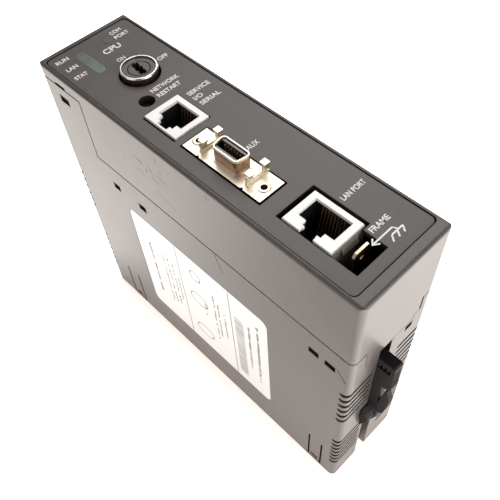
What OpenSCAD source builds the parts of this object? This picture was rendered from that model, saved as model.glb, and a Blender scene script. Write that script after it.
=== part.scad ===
// Single-slot rack controller module, standing on its rear face.
// Origin: centre of the rear seating face. +Z points out of the front panel,
// +Y towards the status lamps, +X towards the side without the rating label.

/* [Housing] */
// Width of the module across its slot
module_w = 34; // [33.5:0.5:60]
// Height of the module, bottom end to top end
module_h = 130; // [130:1:180]
// Depth of the module, rear face to front rim
module_d = 120.5; // [116:0.5:160]
// Wall thickness of the housing shells
wall = 2; // [1.6:0.1:2.4]
// Radius of the long vertical corners
corner_r = 2; // [1:0.1:3]
// Rounding of the front rim
rim_round = 1.1; // [0.5:0.1:1.4]
// Depth of the front cap along most of the module
cap_depth = 27.8; // [26:0.2:30]
// Depth of the front cap over the lamp end
cap_top_depth = 4.5; // [4:0.1:6]
// Length of the lamp end where the cap is shallow
cap_step = 20.5; // [19:0.5:22]
// Visible gap along the parting line
part_gap = 0.5; // [0.2:0.05:0.6]
// Clearance between nested housing parts
fit_gap = 0.1; // [0.05:0.05:0.2]
// Thickness of the cap's inner skirt
skirt_t = 1; // [0.8:0.1:1.2]

/* [Vents] */
// Height of one vent slot
vent_h = 1.7; // [1.2:0.1:2]
// How far a vent slot wraps round the corner
vent_wrap = 2.9; // [2.6:0.1:4]
// Slots in the upper vent group
vent_upper_n = 6; // [3:1:6]
// Pitch of the upper vent group
vent_upper_pitch = 3.75; // [3:0.05:4]
// Slots in the lower vent group
vent_lower_n = 7; // [3:1:7]
// Pitch of the lower vent group
vent_lower_pitch = 3.4; // [3:0.05:3.6]

/* [Faceplate] */
// Thickness of the inset faceplate
panel_t = 1.5; // [1.2:0.1:1.8]
// How far the faceplate sits below the rim
panel_sink = 0.3; // [0.1:0.1:0.6]
// Rim width at the long sides
rim_side = 1.6; // [1.4:0.1:1.8]
// Rim width at the lamp end
rim_top = 2.4; // [2:0.1:2.8]
// Rim width at the latch end
rim_bottom = 3.9; // [3.2:0.1:4.2]
// Gap line round the faceplate
panel_gap = 0.3; // [0.1:0.05:0.4]

/* [Key switch] */
// Radius of the lock barrel's threaded body
barrel_r = 5.5; // [5:0.1:5.8]
// Radius of the turning plug
plug_r = 3.6; // [3:0.1:3.8]
// Running clearance of plug, button and lever pin
run_gap = 0.05; // [0.02:0.01:0.08]
// Outer radius of the bright ring
ring_r = 6; // [5.8:0.1:6.1]
// Radius of the hole in the faceplate round the ring
ring_hole_r = 6.5; // [6.3:0.1:7]

/* [Restart button] */
// Radius of the button's hole
restart_hole_r = 2.5; // [2.2:0.1:2.8]
// How far the button can be pressed
restart_travel = 0.6; // [0.4:0.1:0.8]

/* [Ports] */
// Width of the serial jack's plug opening
serial_open_w = 9.8; // [9.6:0.1:10]
// Width of the network jack's plug opening
lan_open_w = 11.9; // [11.7:0.1:12.1]
// Radius of the screw eyelets beside the auxiliary socket
eyelet_r = 1; // [0.9:0.1:1.3]
// Distance between the two screw eyelets
eyelet_pitch = 24.9; // [24.9:0.1:25.5]
// Width of the ground blade
blade_w = 6.35; // [6:0.05:6.4]
// Thickness of the ground blade
blade_t = 0.8; // [0.6:0.1:1]

/* [Release lever] */
// Width of the release lever
lever_w = 3.6; // [3:0.1:3.8]
// Radius of the lever's pivot pin
pin_r = 1; // [0.8:0.1:1.2]
// How far the lever bay is sunk into the end wall
bay_depth = 6.8; // [6.6:0.1:7.5]

/* [Boards] */
// Thickness of the circuit boards
board_t = 1.6; // [1.2:0.2:2]
// Distance between the facing sides of the two boards
board_space = 18; // [18:0.5:20]

/* [Hidden] */
$fn = 48;
over = 1;

// housing levels
hx = module_w / 2;
hy = module_h / 2;
cap_z = module_d - cap_depth;
top_cap_z = module_d - cap_top_depth;
step_y = hy - cap_step;
half_gap = part_gap / 2;
inner_r = max(corner_r - 1, 0.4);
apron_drop = 8.5;
apron_z = cap_z - apron_drop;
apron_x0 = -11.5;
apron_x1 = 12.2;
skirt_z = cap_z - 6.7;
skirt_reach = 3;
skirt_half_w = hx - wall - fit_gap;
skirt_half_h = hy - wall - fit_gap;
top_skirt_drop = 6;

// faceplate
panel_z = module_d - panel_sink;
panel_base = panel_z - panel_t;
panel_w = module_w - 2 * rim_side;
panel_h = module_h - rim_top - rim_bottom;
panel_cy = (rim_bottom - rim_top) / 2;
panel_r = 1.6;
ledge_t = 1.5;
ledge_side = 2.4;

// parting windows and their hooks: place along Y, length
side_catches = [[37.15, 3.5], [23.45, 3.7], [-51.85, 3.7], [-57.8, 3.8]];
catch_h = 2.8;
catch_z = cap_z - 9.3;
top_catch_y = hy - 10.55;
top_catch_w = 4.9;
top_catch_z = top_cap_z - 5.1;
end_catch_x = 8.8;
end_catch_w = 3.2;
end_catch_z = catch_z - 2.1;
hook_gap = 0.4;
hook_reach = wall - 0.7;

// rear cover and its snap tongues
cover_t = 2.2;
tongue_ys = [[-hy + 9.35, 5.7], [hy - 16.5, 7]];
tongue_z = 21;
slit = 0.8;
lug_w = 3;
lug_z = 3.3;
lug_h = 1.2;

// label
label_t = 0.2;
label_deep = 0.25;
label_y = 66.8;
label_z = 58.5;
label_cy = 0.1;
label_cz = 46.25;

// lever bay and channel
bay_x0 = -4.4;
bay_w = 5.4;
bay_x1 = bay_x0 + bay_w;
bay_wall = 1.2;
bay_floor = -hy + bay_depth;
bay_z0 = apron_z - 56.2;
bay_z1 = apron_z - 0.8;
channel_deep = 2.5;
channel_floor = -hy + channel_deep;
vent_x = -5.4;
vent_upper_z = 72.2;
vent_lower_z = 34.5;

// release lever, in the plane across X, measured from its pivot
pivot_y = -hy + 3.2;
pivot_z = apron_z - 26.2;
lever_x0 = bay_x0 + 0.2;
lever_x1 = lever_x0 + lever_w;
lever_hub_r = pin_r + 1.2;
thumb_top = 21.8;
thumb_out = -9;
finger_t = 1.9;
wing_w = 3.4;
wing_y = -3.6;

// boards
board_x = -10;
net_board_x = board_x + board_space;
board_end_gap = 1.6;
board_half = hy - wall - board_end_gap;
board_z0 = 8;
board_z1 = module_d - 4.5;
rail_deep = 2.4;
rail_t = 1.2;
rail_top = apron_z - 6.5;
net_y0 = -54;
net_y1 = 27;
net_z0 = 12;
net_z1 = module_d - 24.5;
post_r = 2.5;
post_hole_r = 1.25;
posts = [[-49, 18], [-49, net_z1 - 6], [22, 18], [22, net_z1 - 6]];

// key switch
key_x = 1.4;
key_y = 36.7;
ring_top = module_d + 2;
ring_rim = 0.75;
face_deep = 0.6;
face_t = 1.3;
barrel_z0 = module_d - 20.5;
bracket_t = 1.2;
bracket_z = module_d - 8.5;
flange_r = 7;
nut_flats = 14;
nut_t = 2.5;
cam_t = 2.6;
cam_gap = 0.4;

// restart button
restart_x = -5.25;
restart_y = 25.15;
button_r = restart_hole_r - run_gap;
boss_z = panel_base - 3.7;
button_top = panel_z - 2.6;
collar_t = 0.8;
collar_gap = 0.2;
button_foot = boss_z - collar_t - collar_gap - 1.4;
switch_top = button_foot - restart_travel - 0.2;

// ports: centre along Y, low X side is the circuit board
jack_front = panel_z + 0.5;
jack_deep = 16.5;
serial_y = 13.45;
serial_w = 13.5;
serial_tall = 12.35;
lan_y = -41.45;
lan_w = 15.75;
lan_tall = 12.05;
jack_open_deep = 13;
key_step_w = [6.2, 4];
key_step_x = [1.65, 1.35];
wire_r = 0.23;
shield_t = 0.3;

// auxiliary socket
aux_y = -11;
aux_x = -5.5;
plate_x0 = -10.3;
plate_w = 9.1;
plate_h = 29.7;
plate_t = 0.7;
plate_z = panel_z + 0.35;
aux_screw_x = -6;
shell_top = plate_z + 5;
shell_t = 0.4;
shell_half_x = 2.6;
shell_half_y = 5.4;
shell_slope = 10;
shell_r = 1.3;
ear_rise = 3.3;
clip_t = 0.5;
aux_base_z = module_d - 13;

// ground blade
blade_x = -3.4;
blade_y = -53.3;
blade_top = panel_z - 0.2;

// lamps
lens_x = -5.75;
lens_y = 52.05;
lens_w = 3.7;
lens_h = 13.3;
port_lens_x = 4.6;
port_lens_y = 57.3;
port_lens_r = 1.7;
lamp_holder_z = module_d - 14.5;
lamp_top = module_d - 4.6;

// backplane connector
bus_y0 = 6;
bus_y1 = 56;
bus_w = 8.8;
bus_slot_w = 5.6;
bus_front = 1.2;
bus_deep = 13;
bus_pins = 19;

// ---------- shared shapes ----------

// box between two corners
module block(x0, x1, y0, y1, z0, z1)
    translate([x0, y0, z0]) cube([x1 - x0, y1 - y0, z1 - z0]);

// flat rounded rectangle about the origin
module round_rect(w, h, r) {
    square([w - 2 * r, h], center = true);
    square([w, h - 2 * r], center = true);
    for (sx = [-1, 1], sy = [-1, 1])
        translate([sx * (w / 2 - r), sy * (h / 2 - r)]) circle(r = r);
}

// upright bar with rounded corners
module round_bar(w, h, r, z0, z1)
    translate([0, 0, z0]) linear_extrude(z1 - z0) round_rect(w, h, r);

// outline drawn in the Y-Z plane and extruded along X from x0 to x1
module across_x(x0, x1)
    translate([x0, 0, 0]) rotate([90, 0, 90]) linear_extrude(x1 - x0) children();

// outline drawn in the X-Z plane and extruded along Y from y0 to y1
module across_y(y0, y1)
    translate([0, y1, 0]) rotate([90, 0, 0]) linear_extrude(y1 - y0) children();

// points of an arc
function arc(cx, cy, r, a0, a1, n = 8) =
    [for (i = [0:n]) let (a = a0 + (a1 - a0) * i / n) [cx + r * cos(a), cy + r * sin(a)]];

// convex outline with every corner rounded
function rounded(pts, r, n = 6) = [
    for (i = [0:len(pts) - 1])
        let (
            p = pts[i],
            before = pts[(i + len(pts) - 1) % len(pts)] - p,
            after = pts[(i + 1) % len(pts)] - p,
            u = before / norm(before),
            v = after / norm(after),
            half = acos(u * v) / 2,
            c = p + (u + v) / norm(u + v) * r / sin(half),
            a = p + u * r / tan(half) - c,
            b = p + v * r / tan(half) - c,
            sweep = 180 - 2 * half
        )
        for (k = [0:n]) let (s = k / n)
            c + (sin((1 - s) * sweep) * a + sin(s * sweep) * b) / sin(sweep)
];

// outer profile across one pair of front edges, rounded at the front
module rim_profile(half_w) {
    translate([-half_w, 0]) square([2 * half_w, module_d - rim_round]);
    translate([-half_w + rim_round, 0]) square([2 * (half_w - rim_round), module_d]);
    for (s = [-1, 1])
        translate([s * (half_w - rim_round), module_d - rim_round]) circle(r = rim_round);
}

// cap apron that hangs into the latch end wall, grown by g
module apron_outline(g)
    polygon([
        [apron_x0 - g, cap_z + over], [apron_x0 - g, cap_z - 1.6], [apron_x0 + 0.8 - g, cap_z - 2.4 - g],
        [apron_x0 + 0.8 - g, apron_z - g], [apron_x1 - 2.2 + g, apron_z - g],
        [apron_x1 - 2.2 + g, apron_z + 1.8 - g], [apron_x1 + g, apron_z + 1.8 - g],
        [apron_x1 + g, cap_z + over]
    ]);

// ---------- housing ----------

// one vent slot in the low-Y end, from the low-X corner inwards
module vent_slot() {
    block(-hx - over, vent_x - vent_h / 2, -hy - over, -hy + max(vent_wrap - vent_h / 2, wall + 0.05), 0, vent_h);
    translate([-hx - over, -hy + vent_wrap - vent_h / 2, vent_h / 2])
        rotate([0, 90, 0]) cylinder(r = vent_h / 2, h = wall + over + 0.4);
    translate([vent_x - vent_h / 2, -hy - over, vent_h / 2])
        rotate([-90, 0, 0]) cylinder(r = vent_h / 2, h = wall + over + 0.6);
}

module vent_groups() {
    for (i = [0:vent_upper_n - 1])
        translate([0, 0, vent_upper_z - i * vent_upper_pitch - vent_h / 2]) vent_slot();
    for (i = [0:vent_lower_n - 1])
        translate([0, 0, vent_lower_z - i * vent_lower_pitch - vent_h / 2]) vent_slot();
}

// U-shaped slits that free a snap tongue in one side wall, and its lug window
module tongue_cut(y, w) {
    for (s = [-1, 1])
        block(hx - wall - over, hx + over, y + s * w / 2 - slit / 2, y + s * w / 2 + slit / 2, slit, tongue_z);
    block(hx - wall - over, hx + over, y - w / 2, y + w / 2, slit, 2 * slit);
    block(hx - wall - over, hx + over, y - lug_w / 2 - 0.2, y + lug_w / 2 + 0.2, lug_z - 0.2, lug_z + lug_h + 0.2);
}

module housing_form() {
    round_bar(module_w, module_h, corner_r, 0, cap_z - half_gap);
    intersection() {
        round_bar(module_w, module_h, corner_r, cap_z - over, top_cap_z - half_gap);
        block(-module_w, module_w, step_y + half_gap, module_h, 0, module_d);
    }
}

module rear_housing() color([0.56, 0.53, 0.51])
    difference() {
        union() {
            difference() {
                housing_form();
                round_bar(module_w - 2 * wall, module_h - 2 * wall, inner_r, -over, module_d);
            }
            // walls of the lever bay and of the latch channel
            block(bay_x0 - bay_wall, bay_x1 + bay_wall, -hy + wall / 2, bay_floor + bay_wall,
                bay_z0 - bay_wall, bay_z1 + bay_wall);
            block(bay_x0 - bay_wall, bay_x1 + bay_wall, -hy + wall / 2, channel_floor + bay_wall,
                0, bay_z0);
            // rails that grip the two ends of the main board
            for (end = [-1, 1], x = [board_x + fit_gap, board_x - board_t - fit_gap - rail_t])
                block(x, x + rail_t, end < 0 ? -hy + wall / 2 : hy - wall - rail_deep,
                    end < 0 ? -hy + wall + rail_deep : hy - wall / 2, board_z0, rail_top);
        }
        // bay and channel
        block(bay_x0, bay_x1, -hy - over, bay_floor, bay_z0, bay_z1);
        block(bay_x0, bay_x1, -hy - over, -hy + wall, bay_z1 - over, apron_z + half_gap);
        block(bay_x0, bay_x1, -hy - over, channel_floor, -over, bay_z0 + over);
        translate([bay_x0 - bay_wall - over, pivot_y, pivot_z])
            rotate([0, 90, 0]) cylinder(r = pin_r, h = bay_w + 2 * bay_wall + 2 * over);
        // room for the cap's apron and the relief slit beside it
        across_y(-hy - over, -hy + wall) apron_outline(half_gap);
        block(apron_x1, apron_x1 + 0.9, -hy - over, -hy + wall, cap_z - 6.7, cap_z + over);
        // vents at both ends
        for (mx = [0, 1], my = [0, 1]) mirror([mx, 0, 0]) mirror([0, my, 0]) vent_groups();
        // catch windows
        for (s = [-1, 1]) {
            for (c = side_catches)
                block(s * hx - wall - 0.05, s * hx + wall + 0.05, c[0] - c[1] / 2, c[0] + c[1] / 2,
                    catch_z - catch_h / 2, catch_z + catch_h / 2);
            block(s * hx - wall - 0.05, s * hx + wall + 0.05, top_catch_y - top_catch_w / 2, top_catch_y + top_catch_w / 2,
                top_catch_z - catch_h / 2, top_catch_z + catch_h / 2);
        }
        block(end_catch_x - end_catch_w / 2, end_catch_x + end_catch_w / 2, -hy - over, -hy + wall + 0.05,
            end_catch_z - catch_h / 2, end_catch_z + catch_h / 2);
        // snap tongues for the rear cover
        for (mx = [0, 1], t = tongue_ys) mirror([mx, 0, 0]) tongue_cut(t[0], t[1]);
        // recess for the label
        translate([-hx - over, label_cy, label_cz])
            rotate([90, 0, 90]) linear_extrude(over + label_deep) round_rect(label_y + 0.3, label_z + 0.3, 3);
        // lip that hooks over the rack at the lamp end
        block(-6, 6, hy - 1.2, hy + over, 3, 9);
    }

module rear_cover() color([0.30, 0.29, 0.28])
    difference() {
        union() {
            round_bar(module_w - 2 * wall - 2 * fit_gap, module_h - 2 * wall - 2 * fit_gap, inner_r, 0, cover_t);
            for (s = [-1, 1], t = tongue_ys) {
                block(s > 0 ? skirt_half_w - 1.2 : -skirt_half_w, s > 0 ? skirt_half_w : -skirt_half_w + 1.2,
                    t[0] - lug_w / 2, t[0] + lug_w / 2, cover_t - 0.1, lug_z + lug_h);
                block(s > 0 ? skirt_half_w - 0.1 : -hx + 0.7, s > 0 ? hx - 0.7 : -skirt_half_w + 0.1,
                    t[0] - lug_w / 2, t[0] + lug_w / 2, lug_z, lug_z + lug_h);
            }
        }
        // opening for the backplane connector
        block(board_x - 0.2, board_x + bus_w + 0.3, bus_y0 - 0.3, bus_y1 + 0.3, -over, cover_t + over);
        // notch round the latch channel
        block(bay_x0 - bay_wall - fit_gap, bay_x1 + bay_wall + fit_gap, -hy, channel_floor + bay_wall + fit_gap,
            -over, cover_t + over);
    }

// snap hook on the cap's skirt, facing +X, for a window centred on y, z
module side_hook(y, w, z, top) {
    block(skirt_half_w - skirt_t, skirt_half_w, y - w / 2 + hook_gap, y + w / 2 - hook_gap, z - 1.8, top);
    block(skirt_half_w - 0.1, hx - wall + hook_reach, y - w / 2 + hook_gap, y + w / 2 - hook_gap, z - 1, z + 1);
}

// skirt inside the housing: long section and the section under the lamp end
module skirt() {
    difference() {
        union() {
            intersection() {
                round_bar(2 * skirt_half_w, 2 * skirt_half_h, inner_r, skirt_z, panel_base - ledge_t + 0.2);
                block(-hx, hx, -hy, step_y + skirt_reach, 0, module_d);
            }
            intersection() {
                round_bar(2 * skirt_half_w, 2 * skirt_half_h, inner_r, top_cap_z - top_skirt_drop, panel_base - ledge_t + 0.2);
                block(-hx, hx, step_y, hy, 0, module_d);
            }
        }
        round_bar(2 * (skirt_half_w - skirt_t), 2 * (skirt_half_h - skirt_t), inner_r / 2, 0, module_d);
    }
}

module front_cap() color([0.53, 0.50, 0.48])
    union() {
        difference() {
            intersection() {
                round_bar(module_w, module_h, corner_r, apron_z - over, module_d);
                across_y(-hy, hy) rim_profile(hx);
                across_x(-hx, hx) rim_profile(hy);
            }
            // keep the wall above the parting line and the apron below it
            difference() {
                block(-module_w, module_w, -module_h, step_y + over, 0, cap_z + half_gap);
                across_y(-hy - over, -hy + wall) apron_outline(0);
            }
            block(-module_w, module_w, step_y - half_gap, module_h, 0, top_cap_z + half_gap);
            // hollow behind the front ledge
            round_bar(2 * skirt_half_w - 0.2, 2 * skirt_half_h - 0.2, inner_r, 0, panel_base - ledge_t);
            // seat for the faceplate and the opening inside its ledge
            translate([0, panel_cy, 0]) {
                round_bar(panel_w + 2 * panel_gap, panel_h + 2 * panel_gap, panel_r, panel_base, module_d + over);
                round_bar(panel_w - 2 * ledge_side, panel_h - 2 * ledge_side, panel_r, 0, module_d);
            }
            // pry slots over the lamp-end windows
            for (s = [-1, 1])
                block(s * hx - 1, s * hx + 1, top_catch_y - 2.6, top_catch_y + 2.6, top_cap_z - over, top_cap_z + 1.1);
        }
        skirt();
        for (mx = [0, 1]) mirror([mx, 0, 0]) {
            for (c = side_catches) side_hook(c[0], c[1], catch_z, skirt_z + 0.2);
            side_hook(top_catch_y, top_catch_w, top_catch_z, top_cap_z - top_skirt_drop + 0.2);
        }
        // hook in the latch end
        block(end_catch_x - end_catch_w / 2 + hook_gap, end_catch_x + end_catch_w / 2 - hook_gap,
            -skirt_half_h, -skirt_half_h + skirt_t, end_catch_z - 1.8, skirt_z + 0.2);
        block(end_catch_x - end_catch_w / 2 + hook_gap, end_catch_x + end_catch_w / 2 - hook_gap,
            -hy + wall - hook_reach, -skirt_half_h + 0.1, end_catch_z - 1, end_catch_z + 1);
    }

// cut-outs: centre x, centre y, width, height
serial_cut = [-3.95, 13.35, 13.7, 13.8];
aux_cut = [-5.65, -11.2, 10.3, 30.8];
lan_cut = [-3.48, -40.95, 14.05, 18.4];
ground_cut = [-4.75, -53.9, 11.3, 7.6];

module faceplate() color([0.43, 0.41, 0.40])
    difference() {
        union() {
            translate([0, panel_cy, 0]) round_bar(panel_w, panel_h, panel_r, panel_base, panel_z);
            // guide for the restart button
            translate([restart_x, restart_y, boss_z]) cylinder(r = restart_hole_r + 1, h = panel_base - boss_z + 0.2);
        }
        for (c = [serial_cut, aux_cut, lan_cut, ground_cut])
            translate([c[0], c[1], panel_z - panel_t / 2]) cube([c[2], c[3], panel_t + 2 * over], center = true);
        translate([restart_x, restart_y, boss_z - over]) cylinder(r = restart_hole_r, h = 3 * panel_t + 8);
        translate([key_x, key_y, panel_base - over]) cylinder(r = ring_hole_r, h = panel_t + 2 * over);
        translate([port_lens_x, port_lens_y, panel_base - over]) cylinder(r = port_lens_r, h = panel_t + 2 * over);
        translate([lens_x, lens_y, panel_base - over])
            linear_extrude(panel_t + 2 * over) round_rect(lens_w, lens_h, lens_w / 2 - 0.01);
    }

module side_label() color([0.93, 0.92, 0.90])
    translate([-hx + label_deep - label_t, label_cy, label_cz])
        rotate([90, 0, 90]) linear_extrude(label_t) round_rect(label_y, label_z, 2.8);

// ---------- lamps ----------

module status_lens() color([0.60, 0.63, 0.60])
    translate([lens_x, lens_y, 0]) {
        round_bar(lens_w - 0.04, lens_h - 0.04, lens_w / 2 - 0.03, panel_base - 0.1, panel_z + 0.05);
        round_bar(lens_w + 1.6, lens_h + 1.6, lens_w / 2 + 0.7, panel_base - 0.9, panel_base);
    }

module port_lens() color([0.58, 0.60, 0.58])
    translate([port_lens_x, port_lens_y, 0]) {
        translate([0, 0, panel_base - 0.1]) cylinder(r = port_lens_r - 0.02, h = panel_t + 0.2);
        translate([0, 0, panel_base - 0.9]) cylinder(r = port_lens_r + 0.8, h = 0.9);
    }

lamp_ys = [-4.2, 0, 4.2];
lamp_r = 1.4;

// one lamp with a domed end
module lamp(r, z0, z1) {
    translate([0, 0, z0]) cylinder(r = r, h = z1 - r - z0);
    translate([0, 0, z1 - r]) sphere(r = r, $fn = 32);
}

module lamp_holder() color([0.12, 0.12, 0.12])
    difference() {
        block(board_x, port_lens_x + port_lens_r + 1.4, lens_y - 6.8, lens_y + 7.6, lamp_holder_z, lamp_top - 2.6);
        for (y = lamp_ys)
            translate([lens_x, lens_y + y, lamp_holder_z + 2]) cylinder(r = lamp_r, h = 20);
        translate([port_lens_x, port_lens_y, lamp_holder_z + 2]) cylinder(r = lamp_r, h = 20);
    }

module status_lamps() color([0.75, 0.80, 0.74])
    for (y = lamp_ys) translate([lens_x, lens_y + y, 0]) lamp(lamp_r, lamp_holder_z + 2, lamp_top);

module port_lamp() color([0.80, 0.76, 0.60])
    translate([port_lens_x, port_lens_y, 0]) lamp(lamp_r, lamp_holder_z + 2, lamp_top);

// ---------- key switch ----------

module lock_barrel() color([0.80, 0.79, 0.77])
    translate([key_x, key_y, 0])
        difference() {
            union() {
                translate([0, 0, barrel_z0]) cylinder(r = barrel_r, h = module_d - barrel_z0);
                translate([0, 0, bracket_z - 1.4]) cylinder(r = flange_r, h = 1.4);
                translate([0, 0, module_d - 1.5]) cylinder(r1 = barrel_r, r2 = ring_r, h = ring_top - module_d + 1);
                translate([0, 0, ring_top - 0.5]) cylinder(r1 = ring_r, r2 = ring_r - 0.35, h = 0.5);
            }
            translate([0, 0, barrel_z0 - over]) cylinder(r = plug_r + run_gap, h = 60);
            translate([0, 0, ring_top - face_deep - face_t]) cylinder(r = ring_r - ring_rim, h = 10);
        }

module lock_face() color([0.42, 0.41, 0.40])
    translate([key_x, key_y, ring_top - face_deep - face_t])
        difference() {
            cylinder(r = ring_r - ring_rim - 0.02, h = face_t);
            translate([0, 0, -over]) cylinder(r = plug_r + run_gap, h = face_t + 2 * over);
        }

module lock_nut() color([0.72, 0.70, 0.66])
    translate([key_x, key_y, bracket_z + bracket_t])
        difference() {
            cylinder(r = nut_flats / 2 / cos(30), h = nut_t, $fn = 6);
            translate([0, 0, -over]) cylinder(r = barrel_r, h = nut_t + 2 * over);
        }

module lock_bracket() color([0.70, 0.70, 0.70])
    difference() {
        union() {
            block(board_x, key_x + 7.4, key_y - 7.3, key_y + 7.3, bracket_z, bracket_z + bracket_t);
            block(board_x, board_x + bracket_t, key_y - 7.3, key_y + 7.3, bracket_z - 8, bracket_z + 0.1);
        }
        translate([key_x, key_y, bracket_z - over]) cylinder(r = barrel_r, h = bracket_t + 2 * over);
        for (s = [-1, 1])
            translate([board_x - over, key_y + s * 4.6, bracket_z - 4])
                rotate([0, 90, 0]) cylinder(r = 1.1, h = bracket_t + 2 * over);
    }

// keyway: long slot with wide ends and a round centre, in step with the plug
module keyway() scale(plug_r / 3.6) {
    square([1.1, 6.3], center = true);
    for (s = [-1, 1]) translate([0.2 * s, s * 1.95]) square([2.3, 1.7], center = true);
    circle(r = 1.3);
}

module key_plug() color([0.38, 0.37, 0.36])
    translate([key_x, key_y, 0])
        difference() {
            translate([0, 0, barrel_z0 - cam_gap - cam_t])
                cylinder(r = plug_r, h = ring_top - face_deep - barrel_z0 + cam_gap + cam_t);
            translate([0, 0, ring_top - 13]) linear_extrude(20) keyway();
            difference() {
                translate([0, 0, ring_top - face_deep - 0.25]) cylinder(r = plug_r - 0.1, h = 1);
                translate([0, 0, ring_top - face_deep - 0.5]) cylinder(r = plug_r - 0.35, h = 2);
            }
        }

module key_cam() color([0.75, 0.73, 0.68])
    translate([key_x, key_y, barrel_z0 - cam_gap - cam_t])
        difference() {
            union() {
                cylinder(r = plug_r + 1, h = cam_t);
                translate([0, -1.5, 0]) cube([plug_r + 2.2, 3, cam_t]);
            }
            translate([0, 0, -over]) cylinder(r = plug_r, h = cam_t + 2 * over);
        }

module key_switch_block() color([0.15, 0.15, 0.16])
    difference() {
        block(board_x, key_x + 6.8, key_y - 6.9, key_y + 6.9, barrel_z0 - 11, barrel_z0);
        translate([key_x, key_y, barrel_z0 - 4.2]) cylinder(r = 6.2, h = 10);
    }

// ---------- restart button ----------

module restart_button() color([0.10, 0.10, 0.10])
    translate([restart_x, restart_y, 0]) {
        translate([0, 0, boss_z - collar_gap - 0.1]) cylinder(r = button_r, h = button_top - boss_z + collar_gap + 0.1);
        translate([0, 0, boss_z - collar_gap - collar_t]) cylinder(r = restart_hole_r + 0.7, h = collar_t);
        translate([0, 0, button_foot]) cylinder(r = 1.2, h = 2);
    }

module restart_switch() color([0.20, 0.20, 0.21])
    union() {
        block(board_x, restart_x + 3.2, restart_y - 3.2, restart_y + 3.2, switch_top - 6.5, switch_top - 0.6);
        translate([restart_x, restart_y, switch_top - 1]) cylinder(r = 1.6, h = 1);
    }

// ---------- jacks ----------

// plug opening seen from the front: wide part, then two narrower steps for the plug's latch
module jack_opening(open_w, open_x1) {
    main_x0 = open_x1 - 7;
    translate([main_x0, -open_w / 2]) square([7, open_w]);
    translate([main_x0 - key_step_x[0], -key_step_w[0] / 2]) square([key_step_x[0] + 0.1, key_step_w[0]]);
    translate([main_x0 - key_step_x[0] - key_step_x[1], -key_step_w[1] / 2])
        square([key_step_x[0] + key_step_x[1], key_step_w[1]]);
}

module jack_body(y, w, tall, open_w, open_x1)
    difference() {
        block(board_x, board_x + tall, y - w / 2, y + w / 2, jack_front - jack_deep, jack_front);
        translate([0, y, jack_front - jack_open_deep]) linear_extrude(jack_open_deep + over) jack_opening(open_w, open_x1);
    }

// sprung wires: from a comb in the front edge they slope back into the opening
module jack_wires(y, n, pitch, open_x1)
    for (i = [0:n - 1]) translate([open_x1 + 0.15, y + (i - (n - 1) / 2) * pitch, jack_front - 1.8]) {
        sphere(r = wire_r, $fn = 16);
        rotate([0, -169, 0]) cylinder(r = wire_r, h = 10.5, $fn = 16);
        translate([0, 0, -0.05]) rotate([0, 60, 0]) cylinder(r = wire_r, h = 0.6, $fn = 16);
    }

serial_x1 = 0.6;
lan_x1 = 0.4;

module serial_jack() color([0.93, 0.93, 0.92])
    jack_body(serial_y, serial_w, serial_tall, serial_open_w, serial_x1);

module serial_contacts() color([0.83, 0.68, 0.35])
    jack_wires(serial_y, 6, 1.27, serial_x1);

module lan_jack() color([0.93, 0.93, 0.92])
    difference() {
        jack_body(lan_y, lan_w, lan_tall, lan_open_w, lan_x1);
        // the narrow step is open at the low-X side
        block(board_x - over, board_x + 1, lan_y - 2.2, lan_y + 2.2, jack_front - jack_open_deep, jack_front + over);
    }

module lan_shield() color([0.74, 0.72, 0.68])
    difference() {
        union() {
            block(board_x, board_x + lan_tall + shield_t, lan_y - lan_w / 2 - shield_t, lan_y + lan_w / 2 + shield_t,
                jack_front - jack_deep - shield_t, jack_front - 0.7);
            // spring tab that leans out towards the grounding blade
            translate([0, lan_y - lan_w / 2 - shield_t, jack_front]) across_x(-6.4, -0.6)
                polygon([[0.1, -1.3], [-0.9, -3.4], [-0.65, -3.6], [0.1, -2.1]]);
        }
        block(board_x - over, board_x + lan_tall, lan_y - lan_w / 2, lan_y + lan_w / 2,
            jack_front - jack_deep, jack_front + over);
    }

module lan_contacts() color([0.83, 0.68, 0.35])
    jack_wires(lan_y, 8, 1.02, lan_x1);

// ---------- auxiliary socket ----------

// D outline grown by g: the high-X side is the longer one
function d_corners(g) = let (
        lean = tan(shell_slope),
        stretch = g / cos(shell_slope),
        mid = shell_half_y - shell_half_x * lean,
        half_x = shell_half_x + g,
        long = mid + half_x * lean + stretch,
        short = mid - half_x * lean + stretch
    ) [[-half_x, -short], [half_x, -long], [half_x, long], [-half_x, short]];

module d_outline(g) polygon(rounded(d_corners(g), shell_r + g));

module aux_shell() color([0.80, 0.75, 0.66])
    difference() {
        union() {
            difference() {
                block(plate_x0, plate_x0 + plate_w, aux_y - plate_h / 2 - 0.25, aux_y + plate_h / 2 - 0.25,
                    plate_z - plate_t, plate_z);
                // small notches in the low-X edge
                for (s = [-1, 1])
                    translate([plate_x0, aux_y + s * 8.4, plate_z - plate_t - over]) cylinder(r = 0.45, h = plate_t + 2 * over);
            }
            translate([aux_x, aux_y, plate_z - plate_t]) linear_extrude(shell_top - plate_z + plate_t) d_outline(0);
            // drawn foot of the shell
            translate([aux_x, aux_y, plate_z - 0.05]) linear_extrude(0.45) d_outline(0.35);
            translate([aux_x, aux_y, plate_z - 0.05]) linear_extrude(0.25) d_outline(0.6);
        }
        translate([aux_x, aux_y, plate_z - plate_t - over]) linear_extrude(20) d_outline(-shell_t);
        for (s = [-1, 1])
            translate([aux_screw_x, aux_y + s * eyelet_pitch / 2, plate_z - plate_t - over])
                cylinder(r = eyelet_r + 0.5, h = plate_t + 2 * over);
    }

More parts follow.
